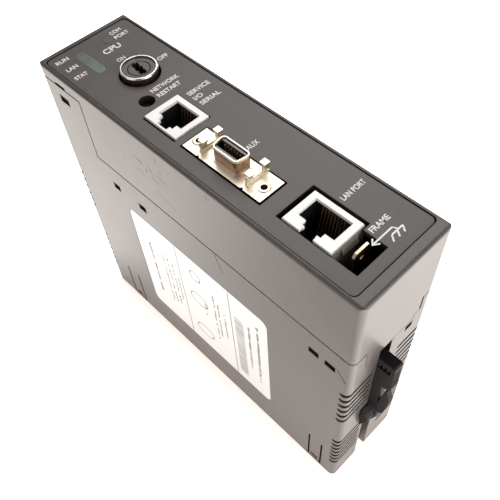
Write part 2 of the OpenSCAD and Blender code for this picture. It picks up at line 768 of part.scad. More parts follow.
module aux_eyelets() color([0.82, 0.77, 0.68])
    for (s = [-1, 1]) translate([aux_screw_x, aux_y + s * eyelet_pitch / 2, 0])
        difference() {
            union() {
                translate([0, 0, plate_z - plate_t - 4]) cylinder(r = eyelet_r + 0.5, h = plate_t + 4);
                translate([0, 0, plate_z]) cylinder(r1 = eyelet_r + 0.95, r2 = eyelet_r + 0.6, h = 0.22);
            }
            translate([0, 0, plate_z - 10]) cylinder(r = eyelet_r, h = 20);
        }

module aux_base() color([0.14, 0.14, 0.15])
    difference() {
        block(board_x, plate_x0 + plate_w - 0.3, aux_y - plate_h / 2 + 0.2, aux_y + plate_h / 2 - 0.7,
            aux_base_z, plate_z - plate_t);
        for (s = [-1, 1]) translate([aux_screw_x, aux_y + s * eyelet_pitch / 2, aux_base_z - over])
            cylinder(r = eyelet_r + 0.5, h = 30);
        translate([aux_x, aux_y, plate_z - plate_t - 6]) linear_extrude(20) d_outline(-shell_t);
    }

slot_half_x = 1.25;
slot_half_y = shell_half_y;

module aux_insulator() color([0.62, 0.62, 0.62])
    translate([aux_x, aux_y, plate_z - plate_t - 6])
        difference() {
            linear_extrude(shell_top - plate_z + plate_t + 5.5) d_outline(-shell_t - 0.25);
            translate([-slot_half_x, -slot_half_y, 3]) cube([2 * slot_half_x, 2 * slot_half_y, 20]);
        }

// two rows of contacts against the long walls of the slot
module aux_contacts() color([0.84, 0.66, 0.36])
    for (s = [-1, 1], i = [0:6])
        translate([aux_x + s * (slot_half_x - 0.17), aux_y + (i - 3) * 1.16 - 0.15, plate_z - plate_t - 3.1])
            translate([-0.17, -0.2, 0]) cube([0.34, 0.4, shell_top - plate_z + 2.4]);

// one latch clip at the high-Y end: sloped wall with a slit, two ears bent towards the shell
module aux_clip()
    difference() {
        union() {
            block(-3.2, 4.6, 8.2, 9.4, 0, clip_t);
            across_x(-3.2, 4.6)
                polygon([[8.2, 0], [8.9, 0], [9.3, ear_rise], [8.7, ear_rise]]);
            for (x = [-2.8, 2.6])
                block(x, x + 2, 7.8, 9.8, ear_rise - 0.1, ear_rise + clip_t);
        }
        block(-0.8, 2.6, 7, 11, 1.5, 10);
        block(-2.7, 4.1, 7, 9.85, 0.55, 0.9);
    }

module aux_clips() color([0.84, 0.79, 0.70])
    translate([aux_x, aux_y, plate_z]) for (m = [0, 1]) mirror([0, m, 0]) aux_clip();

// ---------- ground blade ----------

module ground_blade() color([0.80, 0.70, 0.50])
    difference() {
        across_y(blade_y - blade_t / 2, blade_y + blade_t / 2)
            polygon([
                [board_x, blade_top - 14], [blade_x + blade_w / 2, blade_top - 14],
                [blade_x + blade_w / 2, blade_top - 1.1], [blade_x + blade_w / 2 - 0.9, blade_top],
                [blade_x - blade_w / 2 + 0.9, blade_top], [blade_x - blade_w / 2, blade_top - 1.1],
                [blade_x - blade_w / 2, blade_top - 9], [board_x, blade_top - 9]
            ]);
        translate([blade_x, blade_y - over, blade_top - 3.4]) rotate([-90, 0, 0]) cylinder(r = 0.75, h = 2 * over);
    }

// ---------- boards ----------

module main_board() color([0.10, 0.32, 0.18])
    difference() {
        block(board_x - board_t, board_x, -board_half, board_half, board_z0, board_z1);
        // room for the end wall of the skirt
        block(board_x - 5, board_x + 1, -hy, -skirt_half_h + skirt_t + 0.3, catch_z - 6, module_d);
        for (p = posts) translate([board_x - board_t - over, p[0], p[1]])
            rotate([0, 90, 0]) cylinder(r = post_hole_r + 0.3, h = board_t + 2 * over);
    }

module network_board() color([0.10, 0.32, 0.18])
    difference() {
        block(net_board_x, net_board_x + board_t, net_y0, net_y1, net_z0, net_z1);
        for (p = posts) translate([net_board_x - over, p[0], p[1]])
            rotate([0, 90, 0]) cylinder(r = post_hole_r + 0.3, h = board_t + 2 * over);
    }

module board_posts() color([0.78, 0.70, 0.45])
    for (p = posts) translate([board_x, p[0], p[1]]) rotate([0, 90, 0])
        difference() {
            cylinder(r = post_r, h = board_space);
            translate([0, 0, -over]) cylinder(r = post_hole_r, h = board_space + 2 * over);
        }

// pan-head screws into both ends of every post
module board_screws() color([0.70, 0.70, 0.72])
    for (p = posts, m = [0, 1])
        translate([(board_x + net_board_x) / 2, p[0], p[1]]) mirror([m, 0, 0])
            translate([-board_space / 2 - board_t, 0, 0]) rotate([0, 90, 0])
                difference() {
                    union() {
                        translate([0, 0, -1.2]) cylinder(r = 2.3, h = 1.2);
                        cylinder(r = post_hole_r, h = board_t + 5);
                    }
                    translate([-1.6, -0.25, -2]) cube([3.2, 0.5, 1.5]);
                    translate([-0.25, -1.6, -2]) cube([0.5, 3.2, 1.5]);
                }

header_y = -2;
header_len = 30;

module board_header() color([0.12, 0.12, 0.13])
    block(board_x, board_x + board_space / 2, header_y - header_len / 2, header_y + header_len / 2, 24, 29);

module header_socket() color([0.18, 0.18, 0.20])
    block(board_x + board_space / 2, net_board_x, header_y - header_len / 2 - 0.8, header_y + header_len / 2 + 0.8, 23.6, 29.4);

cpu_y = 8;
cpu_z = 58;
cpu_w = 25;
cpu_t = 3;

module processor() color([0.13, 0.13, 0.14])
    difference() {
        block(board_x + 0.4, board_x + 0.4 + cpu_t, cpu_y - cpu_w / 2, cpu_y + cpu_w / 2, cpu_z - cpu_w / 2, cpu_z + cpu_w / 2);
        translate([board_x + cpu_t + 0.1, cpu_y - cpu_w / 2 + 3, cpu_z - cpu_w / 2 + 3])
            rotate([0, 90, 0]) cylinder(r = 0.9, h = 2);
    }

// gull-wing leads, simplified to short bars down to the board
module processor_leads() color([0.75, 0.75, 0.76])
    for (a = [0:90:270]) translate([board_x, cpu_y, cpu_z]) rotate([a, 0, 0])
        for (i = [-5:5])
            translate([0, i * 2 - 0.3, cpu_w / 2]) {
                cube([0.4, 0.6, 1.8]);
                translate([0.3, 0, 0]) cube([1.2, 0.6, 0.5]);
            }

module memory_chips() color([0.14, 0.14, 0.15])
    for (y = [-46, -33, -20], z = [48, 70])
        block(board_x, board_x + 2.4, y, y + 10.5, z - 9, z + 9);

module network_chip() color([0.13, 0.13, 0.14])
    block(net_board_x - 3, net_board_x, -12, 10, 58, 80);

module line_transformer() color([0.16, 0.15, 0.14])
    block(net_board_x - 6.4, net_board_x, -40, -28, 62, 90);

module crystals() color([0.80, 0.80, 0.80])
    for (z = [38, 46])
        translate([board_x, 32, z]) rotate([0, 90, 0]) linear_extrude(3.6) round_rect(4.6, 11, 2.2);

module capacitors() color([0.16, 0.20, 0.34])
    for (p = [[44, 24], [53, 24], [53, 34]])
        translate([board_x, p[0], p[1]]) rotate([0, 90, 0]) cylinder(r = 3.2, h = 8.5);

// ---------- backplane connector ----------

module bus_connector() color([0.16, 0.16, 0.17])
    difference() {
        block(board_x, board_x + bus_w, bus_y0, bus_y1, bus_front, bus_front + bus_deep);
        translate([board_x + (bus_w - bus_slot_w) / 2, bus_y0 + 2.4, bus_front - over])
            cube([bus_slot_w, bus_y1 - bus_y0 - 4.8, bus_deep - 4 + over]);
    }

module bus_contacts() color([0.84, 0.70, 0.38])
    for (s = [-1, 1], i = [0:bus_pins - 1])
        translate([board_x + bus_w / 2 + s * (bus_slot_w / 2 - 0.2) - 0.2,
                (bus_y0 + bus_y1) / 2 + (i - (bus_pins - 1) / 2) * 2.3 - 0.4, bus_front + 0.8])
            cube([0.4, 0.8, bus_deep - 4.8]);

// ---------- release lever ----------

// side outline of the lever about its pivot: thumb pad, stem, sprung finger, catch
lever_outline = concat(
    [[-0.2, thumb_top], [thumb_out + 0.5, thumb_top], [thumb_out, thumb_top - 0.6]],
    [[thumb_out - 0.15, 8.8], [thumb_out + 0.35, 7.9], [-6.2, 7.1], [-6.1, -4.4], [-6.35, -4.4]],
    [[-7.7, 5.9], [-8.3, 6.2], [-10, 1.6], [-9.7, -3.6], [-9, -8.2], [-8.2, -10.2], [-7.6, -10.4]],
    [[-3.4, -7.8], [-2.8, -9.2], [-7, -12.8], [-7.2, -14.6], [-4.2, -25.4], [-1.4, -23.5], [1.2, -10]],
    [[lever_hub_r, -1.5], [lever_hub_r, 1.5], [1.5, 12]]
);

// thumb pad serrations
module serrations()
    for (i = [0:7])
        translate([lever_x0 - over, thumb_out - 0.1, thumb_top - 2.6 - i * 1.35])
            rotate([45, 0, 0]) translate([0, -0.4, -0.4]) cube([lever_w + 2 * over, 0.8, 0.8]);

module release_lever() color([0.10, 0.10, 0.10])
    translate([0, pivot_y, pivot_z])
        difference() {
            union() {
                across_x(lever_x0, lever_x1) polygon(lever_outline);
                // wing that widens the catch in front of the end wall
                across_x(lever_x0 - wing_w, lever_x0 + 0.1)
                    polygon([[wing_y, -10], [-5.4, -11.4], [-6.4, -13.2], [-6.3, -15.2], [wing_y, -22]]);
                // peg that the spring's free leg pushes on
                translate([lever_x1 - 0.1, -3.2, 4.8]) rotate([0, 90, 0]) cylinder(r = 0.45, h = 1);
            }
            translate([lever_x0 - over, 0, 0]) rotate([0, 90, 0]) cylinder(r = pin_r + run_gap, h = lever_w + 3);
            serrations();
            // pocket with three ribs in the side of the thumb pad
            difference() {
                block(lever_x0 - over, lever_x0 + 1, thumb_out + 1.4, thumb_out + 5.8, thumb_top - 5.1, thumb_top - 2.3);
                for (i = [0:2])
                    block(lever_x0 + 0.05, lever_x0 + 2, thumb_out + 2 + 1.4 * i, thumb_out + 2.75 + 1.4 * i, thumb_top - 4.1, thumb_top);
            }
            // the finger is thinner than the thumb pad
            block(lever_x0 + finger_t, lever_x1 + over, -12, -6.25, -11.5, 6.7);
        }

module lever_pin() color([0.70, 0.70, 0.72])
    translate([bay_x0 - bay_wall, pivot_y, pivot_z]) rotate([0, 90, 0]) cylinder(r = pin_r, h = bay_w + 2 * bay_wall);

coil_r = 1.7;
coil_wire = 0.18;
coil_pitch = 0.4;
coil_turns = 2.5;
coil_x = (lever_x1 + bay_x1) / 2 - coil_pitch * coil_turns / 2;
coil_sides = 10;
free_leg = 5.4;
fixed_leg = 8.9;
// the wire's centre line: down the free leg, round the pin, then up the fixed leg
coil_line = concat(
    [[coil_x, -coil_r, free_leg]],
    [for (a = [0 : 15 : 360 * coil_turns]) [coil_x + coil_pitch * a / 360, -coil_r * cos(a), -coil_r * sin(a)]],
    [[coil_x + coil_pitch * coil_turns, coil_r + 1, fixed_leg]]);
function unit(v) = v / norm(v);
function heading(line, i) = unit(line[min(i + 1, len(line) - 1)] - line[max(i - 1, 0)]);

// round wire of radius r along a line that stays near one X
module wire_along(line, r, sides) {
    last = len(line) - 1;
    points = [for (i = [0 : last], k = [0 : sides - 1])
        let (t = heading(line, i), n = unit([1, 0, 0] - t[0] * t), b = cross(t, n), a = 360 * k / sides)
            line[i] + r * (cos(a) * n + sin(a) * b)];
    walls = [for (i = [0 : last - 1], k = [0 : sides - 1])
        let (j = (k + 1) % sides) [i * sides + j, i * sides + k, (i + 1) * sides + k, (i + 1) * sides + j]];
    ends = [[for (k = [0 : sides - 1]) k], [for (k = [0 : sides - 1]) last * sides + sides - 1 - k]];
    polyhedron(points, concat(walls, ends));
}

// torsion spring beside the lever: two and a half turns round the pin and two legs
module lever_spring() color([0.72, 0.72, 0.74])
    translate([0, pivot_y, pivot_z]) wire_along(coil_line, coil_wire, coil_sides);

// ---------- nodes ----------

rear_housing();
rear_cover();
front_cap();
faceplate();
side_label();
status_lens();
port_lens();
lamp_holder();
status_lamps();
port_lamp();
lock_barrel();
lock_face();
lock_nut();
lock_bracket();
key_plug();
key_cam();
key_switch_block();
restart_button();
restart_switch();
serial_jack();
serial_contacts();
lan_jack();
lan_shield();
lan_contacts();
aux_shell();
aux_base();
aux_insulator();
aux_contacts();
aux_clips();
aux_eyelets();
ground_blade();
main_board();
network_board();
board_posts();
board_screws();
board_header();
header_socket();
processor();
processor_leads();
memory_chips();
network_chip();
line_transformer();
crystals();
capacitors();
bus_connector();
bus_contacts();
release_lever();
lever_pin();
lever_spring();
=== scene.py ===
"""Looks of a single-slot rack controller module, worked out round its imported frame.

The frame's nodes keep their shape and take procedural finishes. The printed legends, the ground mark,
the rating label's print and the hairline wear are meshes of their own that ride on the module's body.
Lengths are metres; MM turns a length in millimetres into metres.
"""

import math

import bmesh
import bpy
import numpy as np
from mathutils import Matrix, Vector


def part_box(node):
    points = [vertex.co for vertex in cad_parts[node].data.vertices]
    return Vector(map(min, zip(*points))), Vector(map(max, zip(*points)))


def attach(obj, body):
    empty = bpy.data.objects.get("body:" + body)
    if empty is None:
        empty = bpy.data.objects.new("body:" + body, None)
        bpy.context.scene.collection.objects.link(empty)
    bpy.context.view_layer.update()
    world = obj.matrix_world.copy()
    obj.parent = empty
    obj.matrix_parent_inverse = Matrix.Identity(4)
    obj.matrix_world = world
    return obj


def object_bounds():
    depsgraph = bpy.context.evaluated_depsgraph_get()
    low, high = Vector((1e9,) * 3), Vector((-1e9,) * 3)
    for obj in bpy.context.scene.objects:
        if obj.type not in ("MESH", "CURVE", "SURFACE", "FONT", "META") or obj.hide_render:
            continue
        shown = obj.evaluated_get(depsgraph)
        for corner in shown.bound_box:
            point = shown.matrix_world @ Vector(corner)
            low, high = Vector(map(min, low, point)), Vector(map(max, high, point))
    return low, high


bl_info = {
    "name": "Rack Controller Module",
    "version": (1, 0, 0),
    "blender": (4, 5, 0),
    "location": "View3D > Sidebar > Module",
    "description": "Finishes, printed marks and studio stage of a rack controller module",
    "category": "Object",
}

MM = 0.001

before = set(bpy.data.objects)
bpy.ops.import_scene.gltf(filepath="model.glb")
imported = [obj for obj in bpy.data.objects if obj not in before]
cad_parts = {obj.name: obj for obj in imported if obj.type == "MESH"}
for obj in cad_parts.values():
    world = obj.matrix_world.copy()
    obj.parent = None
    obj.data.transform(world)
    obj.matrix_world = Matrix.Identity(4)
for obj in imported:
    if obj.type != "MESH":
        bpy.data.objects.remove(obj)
CAD_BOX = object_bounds()

# Levels and places taken from the frame
PANEL_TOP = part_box("faceplate")[1].z
LABEL_LOW, LABEL_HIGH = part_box("side_label")
LABEL_CENTRE = (LABEL_LOW + LABEL_HIGH) / 2
CAP_LOW, CAP_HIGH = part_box("front_cap")
JACK_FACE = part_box("lan_jack")[1].z

# The channel under the release lever lies between the walls that hold its pin
PIN_SEAT = 1.2 * MM
CHANNEL_X = (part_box("lever_pin")[0].x + PIN_SEAT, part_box("lever_pin")[1].x - PIN_SEAT)
CHANNEL_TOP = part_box("release_lever")[0].z

# Cosine between the flat and the rounded normal where an edge begins and where it is full
EDGE_BEGINS, EDGE_FULL = 0.995, 0.86

# Where a stroke's round end gets its points, in half widths, and the least value under its root
END_STOPS = (0.0, 0.06, 0.2, 0.5, 1.0)
END_SQUARE = 0.0025

# Points round a ring and along a hairline, and how high a hairline stands
RING_POINTS = 48
HAIR_POINTS = 9
HAIR_FILM = 0.006 * MM

# Distance between the turning marks on the lock's face
TURNING_PITCH = 0.22 * MM


def middle(node):
    """Centre of a node's box."""
    low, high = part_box(node)
    return (low + high) / 2


# ---------- what a user may change ----------


def length(name, description, default):
    """A length in metres, given in millimetres."""
    return bpy.props.FloatProperty(
        name=name, description=description, default=default * MM, min=0, unit="LENGTH", precision=6
    )


def colour(name, description, default):
    """A linear colour."""
    return bpy.props.FloatVectorProperty(
        name=name, description=description, default=default, size=3, min=0, max=1, subtype="COLOR"
    )


def share(name, description, default, high=1.0):
    """A plain share or strength."""
    return bpy.props.FloatProperty(
        name=name, description=description, default=default, min=0, max=high, subtype="FACTOR"
    )


def angle(name, description, degrees):
    """An angle, given in degrees."""
    return bpy.props.FloatProperty(
        name=name, description=description, default=math.radians(degrees), subtype="ANGLE"
    )


def watts(name, description, default):
    """A lamp's power."""
    return bpy.props.FloatProperty(
        name=name, description=description, default=default, min=0, subtype="POWER"
    )


class MouldedPlastic(bpy.types.PropertyGroup):
    """Colours and texture of the moulded parts."""

    housing: colour("Housing", "Colour of the rear housing", (0.050, 0.043, 0.039))
    cap: colour("Front cap", "Colour of the front cap", (0.049, 0.042, 0.038))
    panel: colour("Faceplate", "Colour of the inset faceplate", (0.062, 0.053, 0.050))
    cover: colour("Rear cover", "Colour of the rear cover", (0.042, 0.039, 0.037))
    black: colour("Black plastic", "Colour of connector bodies", (0.010, 0.010, 0.010))
    lever: colour("Lever", "Colour of the release lever", (0.007, 0.006, 0.007))
    jack: colour("Jack", "Colour of the jacks' front", (0.86, 0.86, 0.84))
    insulator: colour("Insulator", "Colour of the auxiliary socket's insulator", (0.17, 0.17, 0.175))
    grain: length("Grain", "Width of one grain of the moulded texture", 0.28)
    grain_depth: length("Grain depth", "Height of the moulded texture", 0.012)
    soft_edge: length("Edge radius", "Radius that moulded edges are softened to", 0.25)
    wear: share("Edge wear", "How much lighter the rubbed edges are", 0.30)
    # Depth under the jacks' front where their painted shade begins
    jack_shade_depth: length("White skin", "Depth of the jacks' white front", 0.9)


class PlatedMetal(bpy.types.PropertyGroup):
    """Colours of the metal parts."""

    nickel: colour("Nickel", "Warm bright nickel of the socket", (0.84, 0.77, 0.65))
    # Colour of the painted warm reflection and shade on the socket shell's upright sides
    copper: colour("Copper", "Worn sides of the socket's shell", (0.46, 0.27, 0.17))
    bronze: colour("Bronze", "Dull side of the key switch's ring", (0.17, 0.11, 0.08))
    chrome: colour("Chrome", "Bright ring of the key switch", (0.80, 0.77, 0.73))
    face: colour("Lock face", "Grey face of the key switch", (0.060, 0.056, 0.054))
    steel: colour("Steel", "Zinc plated steel", (0.56, 0.56, 0.57))
    tin: colour("Tin", "Tinned sheet", (0.50, 0.43, 0.34))
    sheet: colour("Stamped sheet", "Matte sheet of the network jack's shield", (0.30, 0.275, 0.25))
    gold: colour("Gold", "Gold flash of the contacts", (0.95, 0.60, 0.42))
    brushed: length("Brushing", "Width of one line of brushing", 0.3)


class BoardLook(bpy.types.PropertyGroup):
    """Colours of the circuit boards and what stands on them."""

    mask: colour("Mask", "Green of the solder mask", (0.016, 0.085, 0.036))
    track: colour("Track", "Mask over copper", (0.030, 0.135, 0.055))
    chip: colour("Chip", "Moulded chip bodies", (0.022, 0.022, 0.024))
    sleeve: colour("Sleeve", "Capacitor sleeve", (0.030, 0.048, 0.150))
    pitch: length("Track pitch", "Distance between tracks", 1.27)


class LensLook(bpy.types.PropertyGroup):
    """The two lenses and the lamps under them."""

    body: colour("Lens", "Smoky body of the lens", (0.085, 0.100, 0.095))
    bright: colour("Lens end", "Brighter end of the status lens", (0.125, 0.155, 0.145))
    lamp: colour("Lamp", "Clear lamp bodies", (0.55, 0.60, 0.52))


class PanelPrint(bpy.types.PropertyGroup):
    """White print of the faceplate."""

    ink: colour("Ink", "Colour of the legends", (0.80, 0.79, 0.77))
    film: length("Film", "Height of the ink over the panel", 0.03)
    small: length("Small letters", "Height of a small legend", 1.75)
    large: length("Large letters", "Height of the unit's legend", 2.5)
    bold: share("Bold", "How much the letters are thickened", 0.018, 0.1)
    stroke: length("Mark stroke", "Width of a stroke of the ground mark", 0.5)


class LabelPrint(bpy.types.PropertyGroup):
    """Paper and print of the rating label."""

    paper: colour("Paper", "Colour of the label", (0.72, 0.715, 0.70))
    ink: colour("Ink", "Colour of the print", (0.020, 0.018, 0.018))
    pale: colour("Pale ink", "Colour of the faint lines", (0.10, 0.09, 0.085))
    film: length("Film", "Height of the ink over the label", 0.02)
    rule: length("Rule", "Width of the dividing rules", 0.30)


class Stage(bpy.types.PropertyGroup):
    """Floor and studio light."""

    floor: colour("Floor", "Colour of the floor", (0.98, 0.93, 0.89))
    reach: bpy.props.FloatProperty(
        name="Floor size", description="Side of the floor", default=4.0, min=1, unit="LENGTH"
    )
    sky: share("Sky", "Strength of the even light", 0.78, 4)
    glow: share("Floor glow", "How much light the floor gives off, as a lit table does", 1.9, 4)
    fall: share("Glow fall", "How much less the floor glows beside the module than beyond it", 0.64)
    # Colour of the painted shadow on the floor round the module's foot
    foot_shadow: colour("Contact", "Glow of the floor close to the module", (0.34, 0.285, 0.27))
    horizon: share("Horizon", "Share of the even light that is left near the horizon", 0.2)
    shade: share("Shade", "How dark the sky is behind the viewer", 0.75)
    end_light: watts("End light", "Softbox facing the latch end", 5.5)
    side_light: watts("Side light", "Softbox facing the label side", 0.8)
    top_light: watts("Top light", "Softbox overhead", 2.4)


class Viewpoint(bpy.types.PropertyGroup):
    """Where the picture is taken from."""

    place: bpy.props.FloatVectorProperty(
        name="Place",
        description="Where the camera stands",
        default=(-0.079367, -0.101191, 0.241045),
        size=3,
        subtype="TRANSLATION",
        unit="LENGTH",
    )
    azimuth: angle("Azimuth", "Direction of the camera round the module", -40.715)
    elevation: angle("Elevation", "Height of the camera over the horizon", 53.985)
    roll: angle("Roll", "Turn of the camera about its own line of sight", -4.737)
    lens: bpy.props.FloatProperty(
        name="Lens", description="Focal length on a 36 mm sensor", default=45.31, unit="CAMERA"
    )


GROUPS = {
    "module_plastic": MouldedPlastic,
    "module_metal": PlatedMetal,
    "module_board": BoardLook,
    "module_lens": LensLook,
    "module_print": PanelPrint,
    "module_label": LabelPrint,
    "module_stage": Stage,
    "module_view": Viewpoint,
}


# ---------- surfaces ----------


def link(name, data):
    """Puts a new object that holds the data into the scene."""
    thing = bpy.data.objects.new(name, data)
    bpy.context.scene.collection.objects.link(thing)
    return thing


class Surfaces:
    """Vertices and faces of many small surfaces, gathered into one mesh."""

    def __init__(self):
        self.points, self.faces, self.count = [], [], 0

    def add(self, points, faces):
        """Adds one surface; its faces count from its own first point."""
        self.points.append(np.asarray(points, float).reshape(-1, 3))
        self.faces += [tuple(int(i) + self.count for i in face) for face in faces]
        self.count += len(self.points[-1])

    def piece(self, name, sheet, slot, body="module"):
        """Makes the gathered surfaces one object that rides on a body."""
        mesh = bpy.data.meshes.new(name)
        mesh.from_pydata(np.concatenate(self.points).tolist(), [], self.faces)
        tidy_normals(mesh)
        mesh.materials.append(sheet.material)
        thing = link(name, mesh)
        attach(thing, body)


def tidy_normals(mesh):
    """Merges doubled points, then turns every face outwards."""
    work = bmesh.new()
    work.from_mesh(mesh)
    bmesh.ops.remove_doubles(work, verts=work.verts, dist=1e-8)
    bmesh.ops.recalc_face_normals(work, faces=work.faces)
    work.to_mesh(mesh)
    work.free()


def tube_faces(rings, sides, closed):
    """Faces between rings of points, with an end face at both ends unless the tube closes on itself."""
    r = np.arange(rings if closed else rings - 1)[:, None]
    s = np.arange(sides)[None, :]
    after, beside = (r + 1) % rings, (s + 1) % sides
    walls = np.stack(
        [r * sides + s, r * sides + beside, after * sides + beside, after * sides + s], -1
    ).reshape(-1, 4)
    if closed:
        return walls.tolist()
    last = (rings - 1) * sides
    return walls.tolist() + [tuple(range(sides))[::-1], tuple(range(last, last + sides))]


def ink_stroke(path, up, width, film, closed=False, sides=8):
    """A crowned line of ink along a path.

    Every point of the path carries the same flat oval: half the width across the path, the film's
    height along up, and sunk by the film into what it lies on. At an open end the oval narrows over
    the last half width as a circle does, sqrt(1 - (1 - left)^2), so the line ends round.
    """
    path, up = np.asarray(path, float), np.asarray(up, float)
    if not closed:
        run = np.linalg.norm(np.diff(path, axis=0), axis=1)
        at = np.concatenate([[0], np.cumsum(run)])
        ends = np.array(END_STOPS) * width / 2
        corners = at[(at > width / 2) & (at < at[-1] - width / 2)]
        stops = np.unique(np.concatenate([ends, corners, at[-1] - ends]))
        path = np.stack([np.interp(stops, at, path[:, k]) for k in range(3)], 1)
        left = np.minimum(np.minimum(stops, at[-1] - stops) / (width / 2), 1)
        half = width / 2 * np.sqrt(np.maximum(1 - (1 - left) ** 2, END_SQUARE))
        ahead = np.gradient(path, axis=0)
    else:
        half = np.full(len(path), width / 2)
        ahead = np.roll(path, -1, 0) - np.roll(path, 1, 0)
    ahead /= np.linalg.norm(ahead, axis=1)[:, None]
    across = np.cross(up, ahead)
    turn = np.linspace(0, 2 * np.pi, sides, endpoint=False)
    points = (
        path[:, None, :]
        + half[:, None, None] * np.cos(turn)[None, :, None] * across[:, None, :]
        + film * np.sin(turn)[None, :, None] * up[None, None, :]
    )
    return points.reshape(-1, 3), tube_faces(len(path), sides, closed)


def letters(words, height, bold, film):
    """Words as a thin solid: the outline of Blender's own letters, given a thickness.

    Returns points with the first letter's left edge at X 0, the baseline at Y 0, the capitals' height
    as asked and the solid between Z 0 and film.
    """
    curve = bpy.data.curves.new("letters", "FONT")
    curve.body, curve.size, curve.offset, curve.extrude = words, 1.0, bold, 0.5
    curve.resolution_u = 4
    thing = link("letters", curve)
    bpy.context.view_layer.update()
    graph = bpy.context.evaluated_depsgraph_get()
    mesh = bpy.data.meshes.new_from_object(thing.evaluated_get(graph))
    points = np.zeros(len(mesh.vertices) * 3)
    mesh.vertices.foreach_get("co", points)
    points = points.reshape(-1, 3)
    faces = [tuple(face.vertices) for face in mesh.polygons]
    bpy.data.objects.remove(thing)
    bpy.data.curves.remove(curve)
    bpy.data.meshes.remove(mesh)
    low, high = points.min(0), points.max(0)
    scale = height / (high[1] - low[1])
    points = (points - low) * np.array([scale, scale, film / (high[2] - low[2])])
    return points, faces


# ---------- shader sheets ----------


class Wire:
    """A shader value that adds, multiplies and so on; each step becomes one Math node."""

    def __init__(self, sheet, socket):
        self.sheet, self.socket = sheet, socket

    def _step(self, operation, first, second, clamp=False):
        return self.sheet.node(
            "ShaderNodeMath", {"operation": operation, "use_clamp": clamp}, {0: first, 1: second}
        )

    def __add__(self, other):
        return self._step("ADD", self, other)

    def __radd__(self, other):
        return self._step("ADD", other, self)

    def __sub__(self, other):
        return self._step("SUBTRACT", self, other)

    def __rsub__(self, other):
        return self._step("SUBTRACT", other, self)

    def __mul__(self, other):
        return self._step("MULTIPLY", self, other)

    def __rmul__(self, other):
        return self._step("MULTIPLY", other, self)

    def __pow__(self, other):
        return self._step("POWER", self, other)

    def size(self):
        """The value without its sign."""
        return self._step("ABSOLUTE", self, 0.0)

    def larger(self, other):
        """The larger of two values."""
        return self._step("MAXIMUM", self, other)

    def smaller(self, other):
        """The smaller of two values."""
        return self._step("MINIMUM", self, other)

    def sine(self):
        """The sine of the value."""
        return self._step("SINE", self, 0.0)

    def triangle(self, pitch):
        """A triangle wave from 0 to half the pitch and back."""
        return self._step("PINGPONG", self, pitch / 2)

    def clamped(self):
        """The value held between 0 and 1."""
        return self._step("ADD", self, 0.0, clamp=True)

    def ramp(self, low, high):
        """0 at low, 1 at high, smooth between, whichever of the two is larger."""
        return self.sheet.node(
            "ShaderNodeMapRange",
            {"interpolation_type": "SMOOTHSTEP", "clamp": True},
            {0: self, 1: low, 2: high, 3: 0.0, 4: 1.0},
        )


class NodeTree:
    """A node tree, emptied and filled one node at a time."""

    def __init__(self, owner):
        owner.use_nodes = True
        self.tree = owner.node_tree
        self.tree.nodes.clear()

    def node(self, kind, settings=None, inputs=None, output=0):
        """Adds a node of a kind with its settings and inputs, and returns one output as a wire."""
        made = self.tree.nodes.new(kind)
        for key, value in (settings or {}).items():
            setattr(made, key, value)
        for key, value in (inputs or {}).items():
            if isinstance(value, Wire):
                self.tree.links.new(value.socket, made.inputs[key])
            elif made.inputs[key].type == "RGBA":
                made.inputs[key].default_value = (*value, 1)
            else:
                made.inputs[key].default_value = value
        return Wire(self, made.outputs[output])


